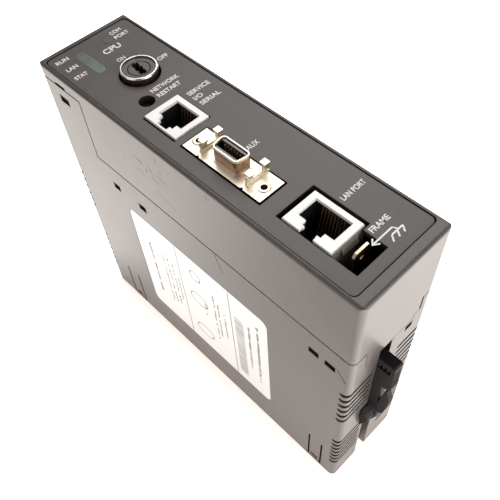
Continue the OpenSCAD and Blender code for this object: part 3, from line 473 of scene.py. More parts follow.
class Sheet(NodeTree):
    """One material's nodes round a Principled shader."""

    def __init__(self, name, base, roughness, metallic=0.0, **own):
        self.material = bpy.data.materials.new(name)
        super().__init__(self.material)
        self.shader = self.tree.nodes.new("ShaderNodeBsdfPrincipled")
        output = self.tree.nodes.new("ShaderNodeOutputMaterial")
        self.tree.links.new(self.shader.outputs["BSDF"], output.inputs["Surface"])
        own.update(Base_Color=(*base, 1), Roughness=roughness, Metallic=metallic)
        for key, value in own.items():
            self.shader.inputs[key.replace("_", " ")].default_value = value
        self.material.diffuse_color = (*base, 1)
        self.place = self.node("ShaderNodeTexCoord", output="Object")

    def feed(self, **wires):
        """Joins wires to the shader's inputs, named with _ for a space."""
        for key, wire in wires.items():
            self.tree.links.new(wire.socket, self.shader.inputs[key.replace("_", " ")])
        return self

    def noise(self, grain, detail=2.0, roughness=0.5, stretch=(1, 1, 1), shift=(0, 0, 0)):
        """Soft noise whose blots are about grain wide; stretch makes them longer along an axis."""
        place = self.node(
            "ShaderNodeMapping",
            inputs={"Vector": self.place, "Location": shift, "Scale": tuple(1 / s for s in stretch)},
        )
        return self.node(
            "ShaderNodeTexNoise",
            inputs={"Vector": place, "Scale": 1 / grain, "Detail": detail, "Roughness": roughness},
        )

    def mix(self, factor, first, second):
        """Blend of two colours."""
        return self.node(
            "ShaderNodeMix", {"data_type": "RGBA"}, {0: factor, 6: first, 7: second}, output=2
        )

    def axis(self, letter):
        """The place along one axis, in metres."""
        return self.node("ShaderNodeSeparateXYZ", inputs={0: self.place}, output=letter)

    def place_normal(self):
        """The unrounded outward direction of a surface."""
        return self.node("ShaderNodeNewGeometry", output="Normal")

    def depth(self, low, high, radius, letters="XYZ"):
        """How deep a place lies under a rounded box's skin, in metres, along the given axes.

        Each axis gives the distance past the box's half length less the radius. The skin is where
        the length of the positive ones plus the largest negative one is the radius.
        """
        past = []
        for letter in letters:
            k = "XYZ".index(letter)
            half = (high[k] - low[k]) / 2 - radius
            past.append((self.axis(letter) - (high[k] + low[k]) / 2).size() - half)
        outside, inside = 0.0, past[0]
        for value in past:
            outside = value.larger(0.0) ** 2 + outside
            inside = inside.larger(value)
        return radius - (outside**0.5 + inside.smaller(0.0))

    def in_channel(self):
        """1 in the open channel under the release lever, 0 elsewhere."""
        across, rise, along = self.axis("X"), self.axis("Z"), self.axis("Y")
        low, high = CHANNEL_X
        within = across.ramp(low - 0.1 * MM, low) * across.ramp(high + 0.1 * MM, high)
        return within * rise.ramp(CHANNEL_TOP, CHANNEL_TOP - 2 * MM) * along.ramp(0.0, -1 * MM)

    def soft_edges(self, radius):
        """Normal with the edges rounded to a radius, and how much of an edge each spot is, 0 to 1."""
        rounded = self.node("ShaderNodeBevel", {"samples": 6}, {"Radius": radius})
        flat = self.place_normal()
        along = self.node(
            "ShaderNodeVectorMath", {"operation": "DOT_PRODUCT"}, {0: rounded, 1: flat}, output="Value"
        )
        return rounded, along.ramp(EDGE_BEGINS, EDGE_FULL)

    def bump(self, height, distance, normal=None, strength=1.0):
        """Normal tilted by a height."""
        inputs = {"Height": height, "Distance": distance, "Strength": strength}
        if normal is not None:
            inputs["Normal"] = normal
        return self.node("ShaderNodeBump", inputs=inputs)


def lighter(base, by):
    """A colour moved towards white by a share."""
    return tuple(c + (1 - c) * by for c in base)


def darker(base, by):
    """A colour moved towards black by a share; a share below 0 makes it brighter."""
    return tuple(c * (1 - by) for c in base)


def moulded(name, base, roughness, plastic, grain=1.0, wear=1.0, scuffs=0.0, skin=None, **own):
    """Moulded plastic: fine grain, faint flow clouds, rubbed edges and optional scuffs.

    The colour drifts from 7% darker to 30% lighter with a broad noise. Edges turn lighter and smoother
    where a rounded normal leaves the flat one. Scuffs are long thin blots that lighten and polish. A
    skin is a box, its radius and axes: deeper under it, in slots, windows and gaps, painted shade turns
    the colour nearly black and the surface rougher, but not in the lever's channel.
    """
    sheet = Sheet(name, base, roughness, **own)
    clouds = sheet.noise(22 * MM, 3, 0.6)
    specks = sheet.noise(0.6 * MM, 2, 0.6)
    texture = sheet.noise(plastic.grain * grain, 3, 0.65)
    rounded, edge = sheet.soft_edges(plastic.soft_edge)
    rubbed = (edge * sheet.noise(3 * MM, 3, 0.7).ramp(0.35, 0.7) * (plastic.wear * wear)).clamped()
    drift = (clouds * 0.75 + specks * 0.25).ramp(0.3, 0.7)
    tint = sheet.mix(drift, darker(base, 0.07), darker(base, -0.3))
    tint = sheet.mix(rubbed, tint, lighter(darker(base, -2.0), 0.02))
    rough = clouds * 0.12 + texture * 0.10 + (roughness - 0.11) - rubbed * 0.15
    if scuffs:
        long_blots = sheet.noise(1.6 * MM, 4, 0.7, stretch=(1, 9, 2.2)).ramp(0.62, 0.78)
        patches = sheet.noise(30 * MM, 2, 0.5, shift=(0.013, 0.02, 0.007)).ramp(0.45, 0.62)
        scuffed = long_blots * patches * scuffs
        tint = sheet.mix(scuffed, tint, lighter(base, 0.12))
        rough = rough - scuffed * 0.12
    # Painted shade: deeper than a fraction of a millimetre under the skin, the colour is mixed to
    # nearly black
    if skin:
        shade = sheet.depth(*skin).ramp(0.06 * MM, 0.3 * MM) * (1 - sheet.in_channel())
        tint = sheet.mix(shade, tint, darker(base, 0.93))
        rough = rough + shade * 0.5
    bumped = sheet.bump(texture, plastic.grain_depth * grain, rounded)
    sheet.feed(Base_Color=tint, Roughness=rough.clamped(), Normal=bumped)
    return sheet


def plated(name, base, roughness, metal, along=(1, 1, 1), dull=0.12, radius=0.12):
    """Plated metal: fine lines of brushing, broad tarnish and bright rubbed edges.

    Tarnish is a broad noise that darkens and warms the plating and makes it duller. Brushing is a
    noise drawn out along one axis that varies the roughness and tilts the surface a little.
    """
    sheet = Sheet(name, base, roughness, 1.0)
    tarnish = sheet.noise(5 * MM, 1, 0.4).ramp(0.35, 0.8)
    lines = sheet.noise(metal.brushed, 1, 0.4, stretch=along)
    rounded, edge = sheet.soft_edges(radius * MM)
    warm = (base[0] * (1 - dull), base[1] * (1 - 1.25 * dull), base[2] * (1 - 1.7 * dull))
    tint = sheet.mix(tarnish, base, warm)
    tint = sheet.mix(edge * 0.5, tint, lighter(base, 0.3))
    rough = tarnish * 0.12 + lines * 0.06 + (roughness - 0.05)
    sheet.feed(
        Base_Color=tint,
        Roughness=rough.clamped(),
        Normal=sheet.bump(lines, 0.0008 * MM, rounded, 0.3),
    )
    return sheet


def dress(sheet, *nodes):
    """Gives CAD nodes a finish; their shape is left alone."""
    for name in nodes:
        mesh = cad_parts[name].data
        mesh.materials.clear()
        mesh.materials.append(sheet.material)
        mesh.polygons.foreach_set("material_index", np.zeros(len(mesh.polygons), np.int32))


# ---------- finishes of the frame's nodes ----------


class MODULE_OT_moulded(bpy.types.Operator):
    """Give the housing shells, faceplate, lever and connector bodies their moulded finishes"""

    bl_idname = "module.moulded"
    bl_label = "Moulded parts"

    def execute(self, context):
        look = context.scene.module_plastic
        # Boxes under whose skin the plastic gets painted shade: the body's slots, windows and seams,
        # and the faceplate's cut-outs
        low, high = Vector((CAP_LOW.x, CAP_LOW.y, 0)), CAP_HIGH
        body, panel = (low, high, 2.2 * MM), (*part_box("faceplate"), 0.3 * MM, "Z")
        housing = moulded("housing_plastic", look.housing, 0.33, look, scuffs=0.35, skin=body)
        dress(housing, "rear_housing")
        dress(moulded("cap_plastic", look.cap, 0.33, look, scuffs=0.5, skin=body), "front_cap")
        plate = moulded("panel_plastic", look.panel, 0.46, look, 0.9, 0.4, skin=panel)
        dress(plate, "faceplate")
        dress(moulded("cover_plastic", look.cover, 0.48, look), "rear_cover")
        lever = moulded("lever_plastic", look.lever, 0.55, look, 0.8, 0.5, Specular_IOR_Level=0.12)
        dress(lever, "release_lever")
        dress(
            moulded("black_plastic", look.black, 0.5, look, 0.6, 0.2, Specular_IOR_Level=0.3),
            "lamp_holder",
            "key_switch_block",
            "restart_button",
            "restart_switch",
            "aux_base",
            "board_header",
            "header_socket",
            "bus_connector",
        )
        # Painted shade in the insulator's slot below its top face
        rail = (*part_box("aux_insulator"), 0.1 * MM, "Z")
        insulator = moulded("insulator_plastic", look.insulator, 0.46, look, 0.5, 0.3, skin=rail)
        dress(insulator, "aux_insulator")
        dress(self.jack(look), "serial_jack", "lan_jack")
        return {"FINISHED"}

    def jack(self, look):
        """White at the front, with painted shade inside: below a depth under the front face the tint
        turns nearly black.
        """
        sheet = moulded("jack_plastic", look.jack, 0.34, look, 0.5, 0.2)
        # Painted shade: below the white front, the jack's cavity and walls turn nearly black
        white = sheet.axis("Z").ramp(JACK_FACE - look.jack_shade_depth - 0.1 * MM, JACK_FACE - look.jack_shade_depth)
        soil = sheet.noise(1.1 * MM, 4, 0.7).ramp(0.55, 0.8)
        front = sheet.mix(soil * 0.25, look.jack, darker(look.jack, 0.2))
        sheet.feed(Base_Color=sheet.mix(white, (0.012, 0.011, 0.011), front))
        return sheet


class MODULE_OT_metal(bpy.types.Operator):
    """Give the plated, tinned and gold parts their finishes"""

    bl_idname = "module.metal"
    bl_label = "Metal parts"

    def execute(self, context):
        look = context.scene.module_metal
        nickel = plated("nickel", look.nickel, 0.30, look, (1, 12, 1), 0.22)
        dress(nickel, "aux_clips", "aux_eyelets", "board_posts")
        dress(self.shell(look), "aux_shell")
        dress(self.ring(look), "lock_barrel")
        dress(self.satin(look), "lan_shield")
        dress(
            plated("steel", look.steel, 0.30, look, (1, 10, 1)),
            "lock_nut",
            "lock_bracket",
            "key_cam",
            "board_screws",
            "crystals",
            "lever_pin",
            "lever_spring",
        )
        dress(
            plated("tin", look.tin, 0.27, look, (6, 1, 1), 0.25),
            "ground_blade",
            "processor_leads",
        )
        dress(
            plated("gold", look.gold, 0.36, look, (1, 1, 6), 0.18, 0.05),
            "serial_contacts",
            "lan_contacts",
            "aux_contacts",
            "bus_contacts",
        )
        dress(self.lock_face(look, context.scene.module_plastic), "lock_face", "key_plug")
        return {"FINISHED"}

    def shell(self, look):
        """Nickel whose upright sides below the mouth's rim carry a painted warm reflection and shade in
        copper tones.
        """
        sheet = plated("worn_nickel", look.nickel, 0.36, look, (1, 12, 1), 0.1)
        up = sheet.node("ShaderNodeSeparateXYZ", inputs={0: sheet.place_normal()}, output="Z").size()
        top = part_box("aux_shell")[1].z
        # Painted warm reflection and shade: upright faces below the mouth's rim turn copper, with
        # darker patches
        side = up.ramp(0.75, 0.35) * sheet.axis("Z").ramp(top - 0.5 * MM, top - 1.1 * MM)
        patch = sheet.noise(2.6 * MM, 2, 0.5, stretch=(1, 1, 2)).ramp(0.3, 0.7)
        copper = sheet.mix(patch, look.copper, darker(look.copper, 0.45))
        cloud = sheet.noise(4 * MM, 2, 0.5).ramp(0.3, 0.75)
        flat = sheet.mix(cloud, look.nickel, darker(look.nickel, 0.06))
        sheet.feed(
            Base_Color=sheet.mix(side * 0.85, flat, copper),
            Roughness=0.40 - side * 0.16 + cloud * 0.05,
        )
        return sheet

    def satin(self, look):
        """Matte stamped sheet: half of its light is scattered, with faint rolling lines."""
        sheet = Sheet("satin_sheet", look.sheet, 0.5, 0.45)
        lines = sheet.noise(0.3 * MM, 2, 0.5, stretch=(8, 1, 1))
        stain = sheet.noise(2.5 * MM, 3, 0.6).ramp(0.35, 0.75)
        sheet.feed(
            Base_Color=sheet.mix(stain, look.sheet, darker(look.sheet, 0.18)),
            Roughness=lines * 0.1 + stain * 0.1 + 0.42,
            Normal=sheet.bump(lines, 0.002 * MM, sheet.soft_edges(0.08 * MM)[0]),
        )
        return sheet

    def ring(self, look):
        """Bright rim over a dull bronze side: the tint turns just below the ring's top."""
        sheet = plated("chrome", look.chrome, 0.2, look, (1, 1, 8), 0.16, 0.2)
        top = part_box("lock_barrel")[1].z
        rim = sheet.axis("Z").ramp(top - 0.42 * MM, top - 0.26 * MM)
        patch = sheet.noise(1.4 * MM, 3, 0.6).ramp(0.4, 0.7)
        side = sheet.mix(patch, look.bronze, darker(look.bronze, 0.5))
        sheet.feed(Base_Color=sheet.mix(rim, side, look.chrome), Roughness=0.46 - rim * 0.28)
        return sheet

    def lock_face(self, look, plastic):
        """Satin grey with turning marks: rings round the key's axis, a sine of the distance from it."""
        # Painted shade in the keyway and the groove below the plug's top face
        plug = (*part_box("key_plug"), 0.1 * MM, "Z")
        sheet = moulded("lock_grey", look.face, 0.34, plastic, 0.6, 0.9, skin=plug)
        centre = middle("key_plug")
        across, along = sheet.axis("X") - centre.x, sheet.axis("Y") - centre.y
        away = (across * across + along * along) ** 0.5
        rings = (away * (2 * math.pi / TURNING_PITCH)).sine()
        sheet.feed(Normal=sheet.bump(rings, 0.003 * MM, sheet.soft_edges(0.1 * MM)[0], 0.6))
        return sheet


class MODULE_OT_boards(bpy.types.Operator):
    """Give the circuit boards and the parts on them their finishes"""

    bl_idname = "module.boards"
    bl_label = "Circuit boards"

    def execute(self, context):
        look, plastic = context.scene.module_board, context.scene.module_plastic
        dress(self.board(look), "main_board", "network_board")
        dress(
            moulded("chip_epoxy", look.chip, 0.5, plastic, 0.7, 0.3),
            "processor",
            "memory_chips",
            "network_chip",
            "line_transformer",
        )
        sleeve = moulded("capacitor_sleeve", look.sleeve, 0.28, plastic, 0.4, 0.3)
        stripe = sleeve.noise(0.8 * MM, 1, 0.4, stretch=(8, 1, 1)).ramp(0.58, 0.66)
        sleeve.feed(Base_Color=sleeve.mix(stripe, look.sleeve, lighter(look.sleeve, 0.35)))
        dress(sleeve, "capacitors")
        return {"FINISHED"}

    def board(self, look):
        """Solder mask over tracks and pads.

        Tracks run along Y or Z by patch: a triangle wave of the place over the pitch is cut where it
        is low, and a coarse cell pattern chooses the direction. Pads are round spots on the pitch.
        """
        sheet = Sheet("board", look.mask, 0.34, Coat_Weight=0.3, Coat_Roughness=0.15)
        along, rise = sheet.axis("Y"), sheet.axis("Z")
        cells = {"Vector": sheet.place, "Scale": 1 / (11 * MM)}
        patch = sheet.node("ShaderNodeTexVoronoi", inputs=cells, output="Color")
        which = sheet.node("ShaderNodeSeparateColor", inputs={0: patch}, output=0).ramp(0.49, 0.51)

        wobble = sheet.noise(9 * MM, 1, 0.4) * (1.4 * MM)
        lines = (along + wobble).triangle(look.pitch) * which
        lines = lines + (rise + wobble).triangle(look.pitch) * (1 - which)
        tracks = lines.ramp(look.pitch * 0.16, look.pitch * 0.12)
        ring = (along.triangle(look.pitch) ** 2 + rise.triangle(look.pitch) ** 2) ** 0.5
        pads = ring.ramp(look.pitch * 0.26, look.pitch * 0.22) * sheet.noise(7 * MM, 1).ramp(0.56, 0.58)
        tint = sheet.mix(tracks, look.mask, look.track)
        tint = sheet.mix(pads, tint, (0.62, 0.58, 0.50))
        sheet.feed(
            Base_Color=tint,
            Metallic=pads,
            Normal=sheet.bump(tracks + pads, 0.03 * MM, sheet.soft_edges(0.1 * MM)[0]),
        )
        return sheet


class MODULE_OT_lenses(bpy.types.Operator):
    """Give the lamp lenses and the lamps under them their finishes"""

    bl_idname = "module.lenses"
    bl_label = "Lenses and lamps"

    def execute(self, context):
        look, plastic = context.scene.module_lens, context.scene.module_plastic
        low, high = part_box("status_lens")
        lens = Sheet("status_lens", look.body, 0.24, Coat_Weight=0.5, Coat_Roughness=0.12)
        toward_end = lens.axis("Y").ramp(high.y, low.y)
        milky = lens.noise(2.4 * MM, 3, 0.6).ramp(0.3, 0.75)
        tint = lens.mix((toward_end * 0.75 + milky * 0.3).clamped(), look.body, look.bright)
        rounded, edge = lens.soft_edges(0.15 * MM)
        tint = lens.mix(edge * 0.5, tint, darker(look.body, 0.5))
        lens.feed(
            Base_Color=tint,
            Roughness=milky * 0.12 + 0.2,
            Normal=lens.bump(milky, 0.01 * MM, rounded),
        )
        dress(lens, "status_lens")
        small = moulded("port_lens", darker(look.body, 0.22), 0.3, plastic, 0.5, 0.2)
        dress(small, "port_lens")
        lamp = Sheet("lamp_clear", look.lamp, 0.14, Transmission_Weight=0.6, IOR=1.5)
        haze = lamp.noise(0.9 * MM, 3, 0.6)
        clear = lamp.mix(haze, look.lamp, lighter(look.lamp, 0.3))
        lamp.feed(Base_Color=clear, Roughness=haze * 0.1 + 0.08)
        dress(lamp, "status_lamps", "port_lamp")
        return {"FINISHED"}


# ---------- printed marks ----------

# Words; the node that they name; left end and baseline from that node's centre; length; all in mm
LEGENDS = (
    ("RUN", "status_lens", -7.95, 6.35, 4.4, "small"),
    ("LAN", "status_lens", -7.55, 1.25, 3.9, "small"),
    ("STAT", "status_lens", -8.05, -3.85, 4.5, "small"),
    ("COM", "port_lens", 2.3, 1.0, 4.2, "small"),
    ("PORT", "port_lens", 2.2, -1.8, 5.4, "small"),
    ("CPU", "key_plug", -1.7, 14.8, 6.4, "large"),
    ("ON", "key_plug", -1.2, 8.8, 2.9, "small"),
    ("OFF", "key_plug", 7.7, -0.1, 3.8, "small"),
    ("NETWORK", "restart_button", 3.45, 1.35, 10.3, "small"),
    ("RESTART", "restart_button", 3.55, -1.55, 8.6, "small"),
    ("SERVICE", "serial_jack", 8.4, 3.95, 8.2, "small"),
    ("I/O", "serial_jack", 8.4, 1.25, 3.2, "small"),
    ("SERIAL", "serial_jack", 8.4, -1.65, 7.4, "small"),
    ("AUX", "aux_shell", 6.6, 0.3, 4.3, "small"),
    ("LAN PORT", "lan_jack", 8.7, 0.45, 8.7, "small"),
    ("FRAME", "ground_blade", 6.8, 0.7, 6.8, "small"),
)

# Strokes of the ground mark from the blade's centre, in mm: arrow, drop, bar and three legs
GROUND_STROKES = (
    ((4.1, -1.3), (11.4, -1.3), (12.0, -2.7)),
    ((5.4, -0.1), (3.9, -1.3), (5.6, -2.4)),
    ((9.5, -2.7), (13.7, -2.7)),
    ((9.5, -2.7), (8.2, -4.4)),
    ((11.6, -2.7), (10.4, -4.4)),
    ((13.7, -2.7), (12.4, -4.4)),
)


def ink(name, base, roughness=0.6):
    """Printing ink: slightly uneven cover and gloss."""
    sheet = Sheet(name, base, roughness, Specular_IOR_Level=0.3)
    cover = sheet.noise(0.35 * MM, 3, 0.6)
    sheet.feed(
        Base_Color=sheet.mix(cover.ramp(0.3, 0.62), darker(base, 0.14), base),
        Roughness=cover * 0.15 + (roughness - 0.07),
        Normal=sheet.bump(cover, 0.004 * MM),
    )
    return sheet


class MODULE_OT_legends(bpy.types.Operator):
    """Print the faceplate's legends and its ground mark"""

    bl_idname = "module.legends"
    bl_label = "Panel print"

    def execute(self, context):
        look = context.scene.module_print
        white = ink("panel_ink", look.ink)
        words = Surfaces()
        for text, node, left, base, wide, size in LEGENDS:
            points, faces = letters(text, getattr(look, size), look.bold, 2 * look.film)
            points[:, 0] *= wide * MM / points[:, 0].max()
            origin = middle(node)
            points += (origin.x + left * MM, origin.y + base * MM, PANEL_TOP - look.film)
            words.add(points, faces)
        words.piece("panel_legends", white, slot="label")
        mark, origin = Surfaces(), middle("ground_blade")
        for stroke in GROUND_STROKES:
            path = [(origin.x + x * MM, origin.y + y * MM, PANEL_TOP) for x, y in stroke]
            mark.add(*ink_stroke(path, (0, 0, 1), look.stroke, look.film))
        mark.piece("ground_mark", white, slot="label")
        return {"FINISHED"}


# The label's print, in mm: places along Y from the label's centre, heights from the floor
RULES_ALONG = (9.7, -16.1)
RINGS_ALONG = 0.8
RINGS = ((51.2, 4.4, 3.3), (28.6, 4.6, 3.3), (66.0, 2.6, 2.6))  # height, half length along Y and Z
RING_STROKE = 0.35
BARS_ALONG = (-17.9, -22.3)
BARS_FOOT, BARS_TOP = 21.5, 62
BAR_WIDTHS, BAR_GAPS = (0.5, 0.9), (1.0, 1.6)

# Rows of dashes: along, length of the row, width
DARK_ROWS = ((-24.8, 30, 1.5), (-28.9, 42, 1.5))
FAINT_ROWS = ((-7.6, 30, 0.8), (-9.6, 24, 0.8), (-12.7, 18, 0.8), (-2.4, 9, 0.8), (18.8, 31, 0.8))
FAINT_ROWS += ((16.4, 31, 0.8), (13.9, 29, 0.8), (11.8, 17, 0.6), (25.8, 33, 1.8))
ROW_LIFT = 2  # how much higher the rows on the latch side of the centre start


class MODULE_OT_label(bpy.types.Operator):
    """Finish the rating label and print its rules, blank rings, bars and plain lines"""

    bl_idname = "module.label"
    bl_label = "Rating label"

    def execute(self, context):
        look = context.scene.module_label
        dress(self.paper(look), "side_label")
        dark, pale = ink("label_ink", look.ink, 0.8), ink("label_pale_ink", look.pale, 0.8)
        self.rules(look).piece("label_rules", dark, slot="label")
        self.rings(look).piece("label_rings", dark, slot="label")
        self.bars(look).piece("label_bars", dark, slot="label")
        self.lines(look, DARK_ROWS, 0, 1.2).piece("label_lines", dark, slot="label")
        self.lines(look, FAINT_ROWS, 1, 1.7).piece("label_faint_lines", pale, slot="label")
        return {"FINISHED"}

    def paper(self, look):
        """Satin paper with fine fibres and a trace of handling."""
        sheet = Sheet("label_paper", look.paper, 0.38, Coat_Weight=0.25, Coat_Roughness=0.3)
        fibres = sheet.noise(0.3 * MM, 3, 0.7, stretch=(1, 3, 1))
        hands = sheet.noise(14 * MM, 3, 0.6).ramp(0.5, 0.8)
        tint = sheet.mix(hands * 0.5, look.paper, darker(look.paper, 0.06))
        sheet.feed(
            Base_Color=sheet.mix(fibres * 0.3, tint, darker(look.paper, 0.03)),
            Roughness=fibres * 0.12 + 0.33,
            Normal=sheet.bump(fibres, 0.006 * MM, sheet.soft_edges(0.1 * MM)[0]),
        )
        return sheet

    def at(self, along, height):
        """A point on the label's face: along Y from its centre in mm, and a height Z in metres."""
        return (LABEL_LOW.x, LABEL_CENTRE.y + along * MM, height)

    def upright(self, surfaces, along, low, high, width, look):
        """One line of ink that runs along Z."""
        path = [self.at(along, low), self.at(along, high)]
        surfaces.add(*ink_stroke(path, (-1, 0, 0), width, look.film))

    def rules(self, look):
        """Two rules across the label, from its foot to its top."""
        rules = Surfaces()
        for along in RULES_ALONG:
            foot, top = LABEL_LOW.z + 0.4 * MM, LABEL_HIGH.z - 0.4 * MM
            self.upright(rules, along, foot, top, look.rule, look)
        return rules

    def rings(self, look):
        """Blank rings: ellipses with points at centre + (wide cos t, tall sin t)."""
        rings = Surfaces()
        turn = np.linspace(0, 2 * np.pi, RING_POINTS, endpoint=False)
        for height, wide, tall in RINGS:
            along = LABEL_CENTRE.y + (RINGS_ALONG + wide * np.cos(turn)) * MM
            rise = height * MM + tall * MM * np.sin(turn)
            path = np.stack([np.full(RING_POINTS, LABEL_LOW.x), along, rise], 1)
            rings.add(*ink_stroke(path, (-1, 0, 0), RING_STROKE * MM, look.film, closed=True))
        return rings

    def bars(self, look):
        """A ladder of bars that stands for a scan code and encodes nothing: seeded widths and gaps."""
        bars, chance = Surfaces(), np.random.default_rng(23)
        widths = chance.choice(BAR_WIDTHS, 24)
        gaps = chance.choice(BAR_GAPS, 24)
        heights = BARS_FOOT * MM + np.cumsum(widths + gaps) * MM
        for height, width in zip(heights[heights < BARS_TOP * MM], widths):
            path = [self.at(along, height) for along in BARS_ALONG]
            bars.add(*ink_stroke(path, (-1, 0, 0), width * MM, look.film))
        return bars

    def lines(self, look, rows, seed, longest):
        """Plain dashes in rows that stand for words: seeded lengths and gaps, from the top down Z."""
        lines, chance = Surfaces(), np.random.default_rng(seed)
        for along, reach, width in rows:
            dashes = chance.uniform(0.4 * longest, longest, 60)
            gaps = chance.choice([0.4, 0.6, 1.9], 60, p=[0.45, 0.35, 0.2]) * (longest * 0.7)
            ends = np.cumsum(dashes + gaps)
            top = LABEL_CENTRE.z / MM + reach / 2 + (ROW_LIFT if along < 0 else 0)
            for start, dash in zip((ends - dashes)[ends < reach], dashes):
                shift = along + chance.uniform(-0.12, 0.12)
                broad = width * chance.uniform(0.75, 1.15) * MM
                self.upright(lines, shift, (top - start - dash) * MM, (top - start) * MM, broad, look)
        return lines


# Single scratches on the label side: Y and Z of both ends and the width, in mm
SCRATCHES = (
    (8.7, 117.3, 8.1, 115.9, 0.3),
    (-12.6, 118.0, -13.3, 116.6, 0.3),
    (-12.4, 92.2, -15.5, 84.7, 0.4),
    (-60.2, 84.8, -63.6, 80.6, 0.5),
    (12.0, 101.5, 3.0, 98.8, 0.15),
)


class MODULE_OT_wear(bpy.types.Operator):
    """Add the cluster of hairlines and the single scratches on the label side"""

    bl_idname = "module.wear"
    bl_label = "Hairline wear"

    def execute(self, context):
        """A hairline is a short arc: a start, a heading and a steady bend, all from a fixed seed."""
        chance, hairs = np.random.default_rng(11), Surfaces()
        side, along, height = CAP_LOW.x, 17 * MM, CAP_HIGH.z - 11 * MM
        step = np.linspace(0, 1, HAIR_POINTS)
        for _ in range(13):
            reach = chance.uniform(1.2, 5.0) * MM
            heading = chance.normal(-2.55, 0.35) + chance.normal(0, 0.9) * step
            y = along + chance.normal(0, 5.0) * MM + np.cumsum(np.cos(heading)) * reach / HAIR_POINTS
            z = height + chance.normal(0, 2.0) * MM + np.cumsum(np.sin(heading)) * reach / HAIR_POINTS
            path = np.stack([np.full(HAIR_POINTS, side), y, z], 1)
            width = chance.uniform(0.16, 0.4) * MM
            hairs.add(*ink_stroke(path, (-1, 0, 0), width, HAIR_FILM, sides=6))
        for y, z, y_end, z_end, width in SCRATCHES:
            start, end = np.array([[side / MM, y, z], [side / MM, y_end, z_end]]) * MM
            path = start + (end - start) * step[:, None]
            hairs.add(*ink_stroke(path, (-1, 0, 0), width * MM, HAIR_FILM, sides=6))
        hairs.piece("cap_hairlines", ink("worn_mark", (0.014, 0.012, 0.012)), slot="cap")
        return {"FINISHED"}


# ---------- stage ----------


# Softboxes: name, place in metres, side in metres, colour
SOFTBOXES = (
    ("end_light", (0.0, -0.62, 0.20), 0.55, (1.0, 0.975, 0.955)),
    ("side_light", (-0.62, 0.02, 0.26), 0.55, (1.0, 0.985, 0.97)),
    ("top_light", (0.35, 0.24, 0.62), 0.5, (1.0, 0.99, 0.98)),
)
FOCUS_SHARE = 0.55  # of the module's height

# Spans of Y over which the floor's dimmer band gives way, in front of the module and beyond it
NEAR_BAND = (-75 * MM, -120 * MM)
FAR_BAND = (-20 * MM, 105 * MM)
# Reach of the painted shadow on the floor round the module's foot
FOOT_SHADOW_REACH = 20 * MM

# Cosines to the viewer's direction over which the sky dims, and heights on a sky of radius 1 over
# which it clears
DIM_SKY = (0.72, 0.97)
CLEAR_SKY = (0.42, 0.72)
SKY_TINT = (1.0, 0.975, 0.955)


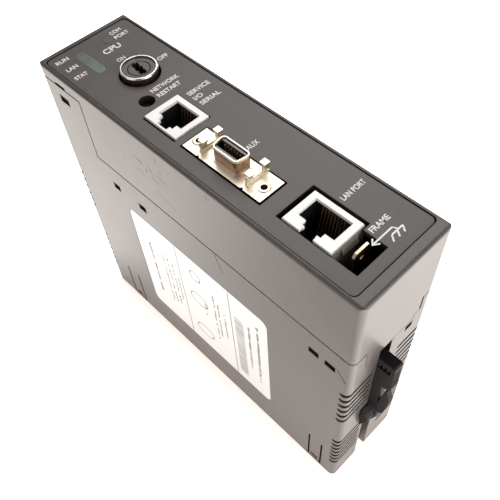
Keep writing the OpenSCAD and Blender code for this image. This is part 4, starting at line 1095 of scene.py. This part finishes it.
class MODULE_OT_stage(bpy.types.Operator):
    """Set the pale floor, the soft studio light and the camera"""

    bl_idname = "module.stage"
    bl_label = "Studio stage"

    def execute(self, context):
        look, view = context.scene.module_stage, context.scene.module_view
        self.floor(look)
        self.sky(context.scene, look, view)
        focus = Vector((0, 0, CAD_BOX[1].z * FOCUS_SHARE))
        for name, place, side, tint in SOFTBOXES:
            self.softbox(name, getattr(look, name), place, focus, side, tint)
        self.camera(context.scene, view)
        context.scene.view_settings.view_transform = "Standard"
        return {"FINISHED"}

    def floor(self, look):
        """A flat square under the module that glows, less beside the module and least at its foot.

        The band beside the module glows by the share that is left after the fall. Close to the
        module's box the glow turns to the colour of the painted shadow at its foot, over that shadow's
        reach.
        """
        half = look.reach / 2
        mesh = bpy.data.meshes.new("floor")
        mesh.from_pydata(
            [(-half, -half, 0), (half, -half, 0), (half, half, 0), (-half, half, 0)], [], [(0, 1, 2, 3)]
        )
        glow = {"Emission_Color": (*look.floor, 1), "Emission_Strength": look.glow}
        sheet = Sheet("floor_paper", look.floor, 0.9, **glow)
        haze = sheet.noise(0.4, 2, 0.5)
        along = sheet.axis("Y")
        open_floor = along.ramp(*NEAR_BAND).larger(along.ramp(*FAR_BAND))
        lit = sheet.mix(open_floor, darker(look.floor, look.fall), look.floor)
        # Painted shadow: the floor's glow turns darker within a short reach of the module's footprint
        rim = (0.0 - sheet.depth(*CAD_BOX, 2 * MM, "XY")).ramp(FOOT_SHADOW_REACH, 0.0)
        sheet.feed(
            Base_Color=sheet.mix(haze, look.floor, darker(look.floor, 0.01)),
            Emission_Color=sheet.mix(rim, lit, look.foot_shadow),
        )
        mesh.materials.append(sheet.material)
        thing = link("floor", mesh)

    def sky(self, scene, look, view):
        """Even pale light with a darker patch behind the viewer and a darker horizon.

        strength = sky (1 - shade dim) (horizon + (1 - horizon) clear), where dim rises with the
        cosine to the viewer's direction and clear with the height on the unit sky.
        """
        scene.world = bpy.data.worlds.new("studio")
        air = NodeTree(scene.world)
        place = air.node("ShaderNodeTexCoord", output="Generated")
        facing = air.node(
            "ShaderNodeVectorMath",
            {"operation": "DOT_PRODUCT"},
            {0: place, 1: self.axes(view)[2]},
            output="Value",
        )
        rise = air.node("ShaderNodeSeparateXYZ", inputs={0: place}, output="Z")
        dim = (1 - facing.ramp(*DIM_SKY) * look.shade) * look.sky
        clear = rise.ramp(*CLEAR_SKY) * (1 - look.horizon) + look.horizon
        light = air.node("ShaderNodeBackground", inputs={"Color": SKY_TINT, "Strength": dim * clear})
        output = air.tree.nodes.new("ShaderNodeOutputWorld")
        air.tree.links.new(light.socket, output.inputs["Surface"])

    def softbox(self, name, power, place, focus, side, tint):
        """A square area lamp that faces a point."""
        lamp = bpy.data.lights.new(name, "AREA")
        lamp.energy, lamp.size, lamp.color = power, side, tint
        thing = link(name, lamp)
        thing.location = place
        thing.rotation_euler = (Vector(place) - focus).to_track_quat("Z", "Y").to_euler()

    def axes(self, view):
        """Right, up and back of the camera: back points from the module to the camera, then a roll."""
        back = np.array(
            [
                math.sin(view.azimuth) * math.cos(view.elevation),
                -math.cos(view.azimuth) * math.cos(view.elevation),
                math.sin(view.elevation),
            ]
        )
        right = np.cross((0, 0, 1.0), back)
        right /= np.linalg.norm(right)
        up = np.cross(back, right)
        c, s = math.cos(view.roll), math.sin(view.roll)
        return c * right + s * up, c * up - s * right, back

    def camera(self, scene, view):
        """The camera at its place, turned by its three axes."""
        data = bpy.data.cameras.new("camera")
        data.lens, data.sensor_width, data.clip_start = view.lens, 36, 10 * MM
        thing = link("camera", data)
        turn = Matrix(self.axes(view)).transposed().to_4x4()
        thing.matrix_world = Matrix.Translation(Vector(view.place)) @ turn
        scene.camera = thing


# ---------- panel and run ----------

STEPS = (
    MODULE_OT_moulded,
    MODULE_OT_metal,
    MODULE_OT_boards,
    MODULE_OT_lenses,
    MODULE_OT_legends,
    MODULE_OT_label,
    MODULE_OT_wear,
    MODULE_OT_stage,
)


class MODULE_PT_parts(bpy.types.Panel):
    """Every step of the module's looks"""

    bl_idname = "MODULE_PT_parts"
    bl_label = "Rack controller module"
    bl_space_type = "VIEW_3D"
    bl_region_type = "UI"
    bl_category = "Module"

    def draw(self, context):
        for step in STEPS:
            self.layout.operator(step.bl_idname)


def register():
    """Registers the groups, steps and panel, and hangs the groups on the scene."""
    for name, group in GROUPS.items():
        bpy.utils.register_class(group)
        setattr(bpy.types.Scene, name, bpy.props.PointerProperty(type=group))
    for step in (*STEPS, MODULE_PT_parts):
        bpy.utils.register_class(step)


def unregister():
    """Undoes register."""
    for step in (MODULE_PT_parts, *reversed(STEPS)):
        bpy.utils.unregister_class(step)
    for name, group in reversed(GROUPS.items()):
        delattr(bpy.types.Scene, name)
        bpy.utils.unregister_class(group)


def main():
    """Builds the looks in order."""
    register()
    for step in STEPS:
        group, name = step.bl_idname.split(".")
        if getattr(getattr(bpy.ops, group), name)() != {"FINISHED"}:
            raise RuntimeError(f"{step.bl_label} did not finish")


if __name__ == "__main__":
    main()
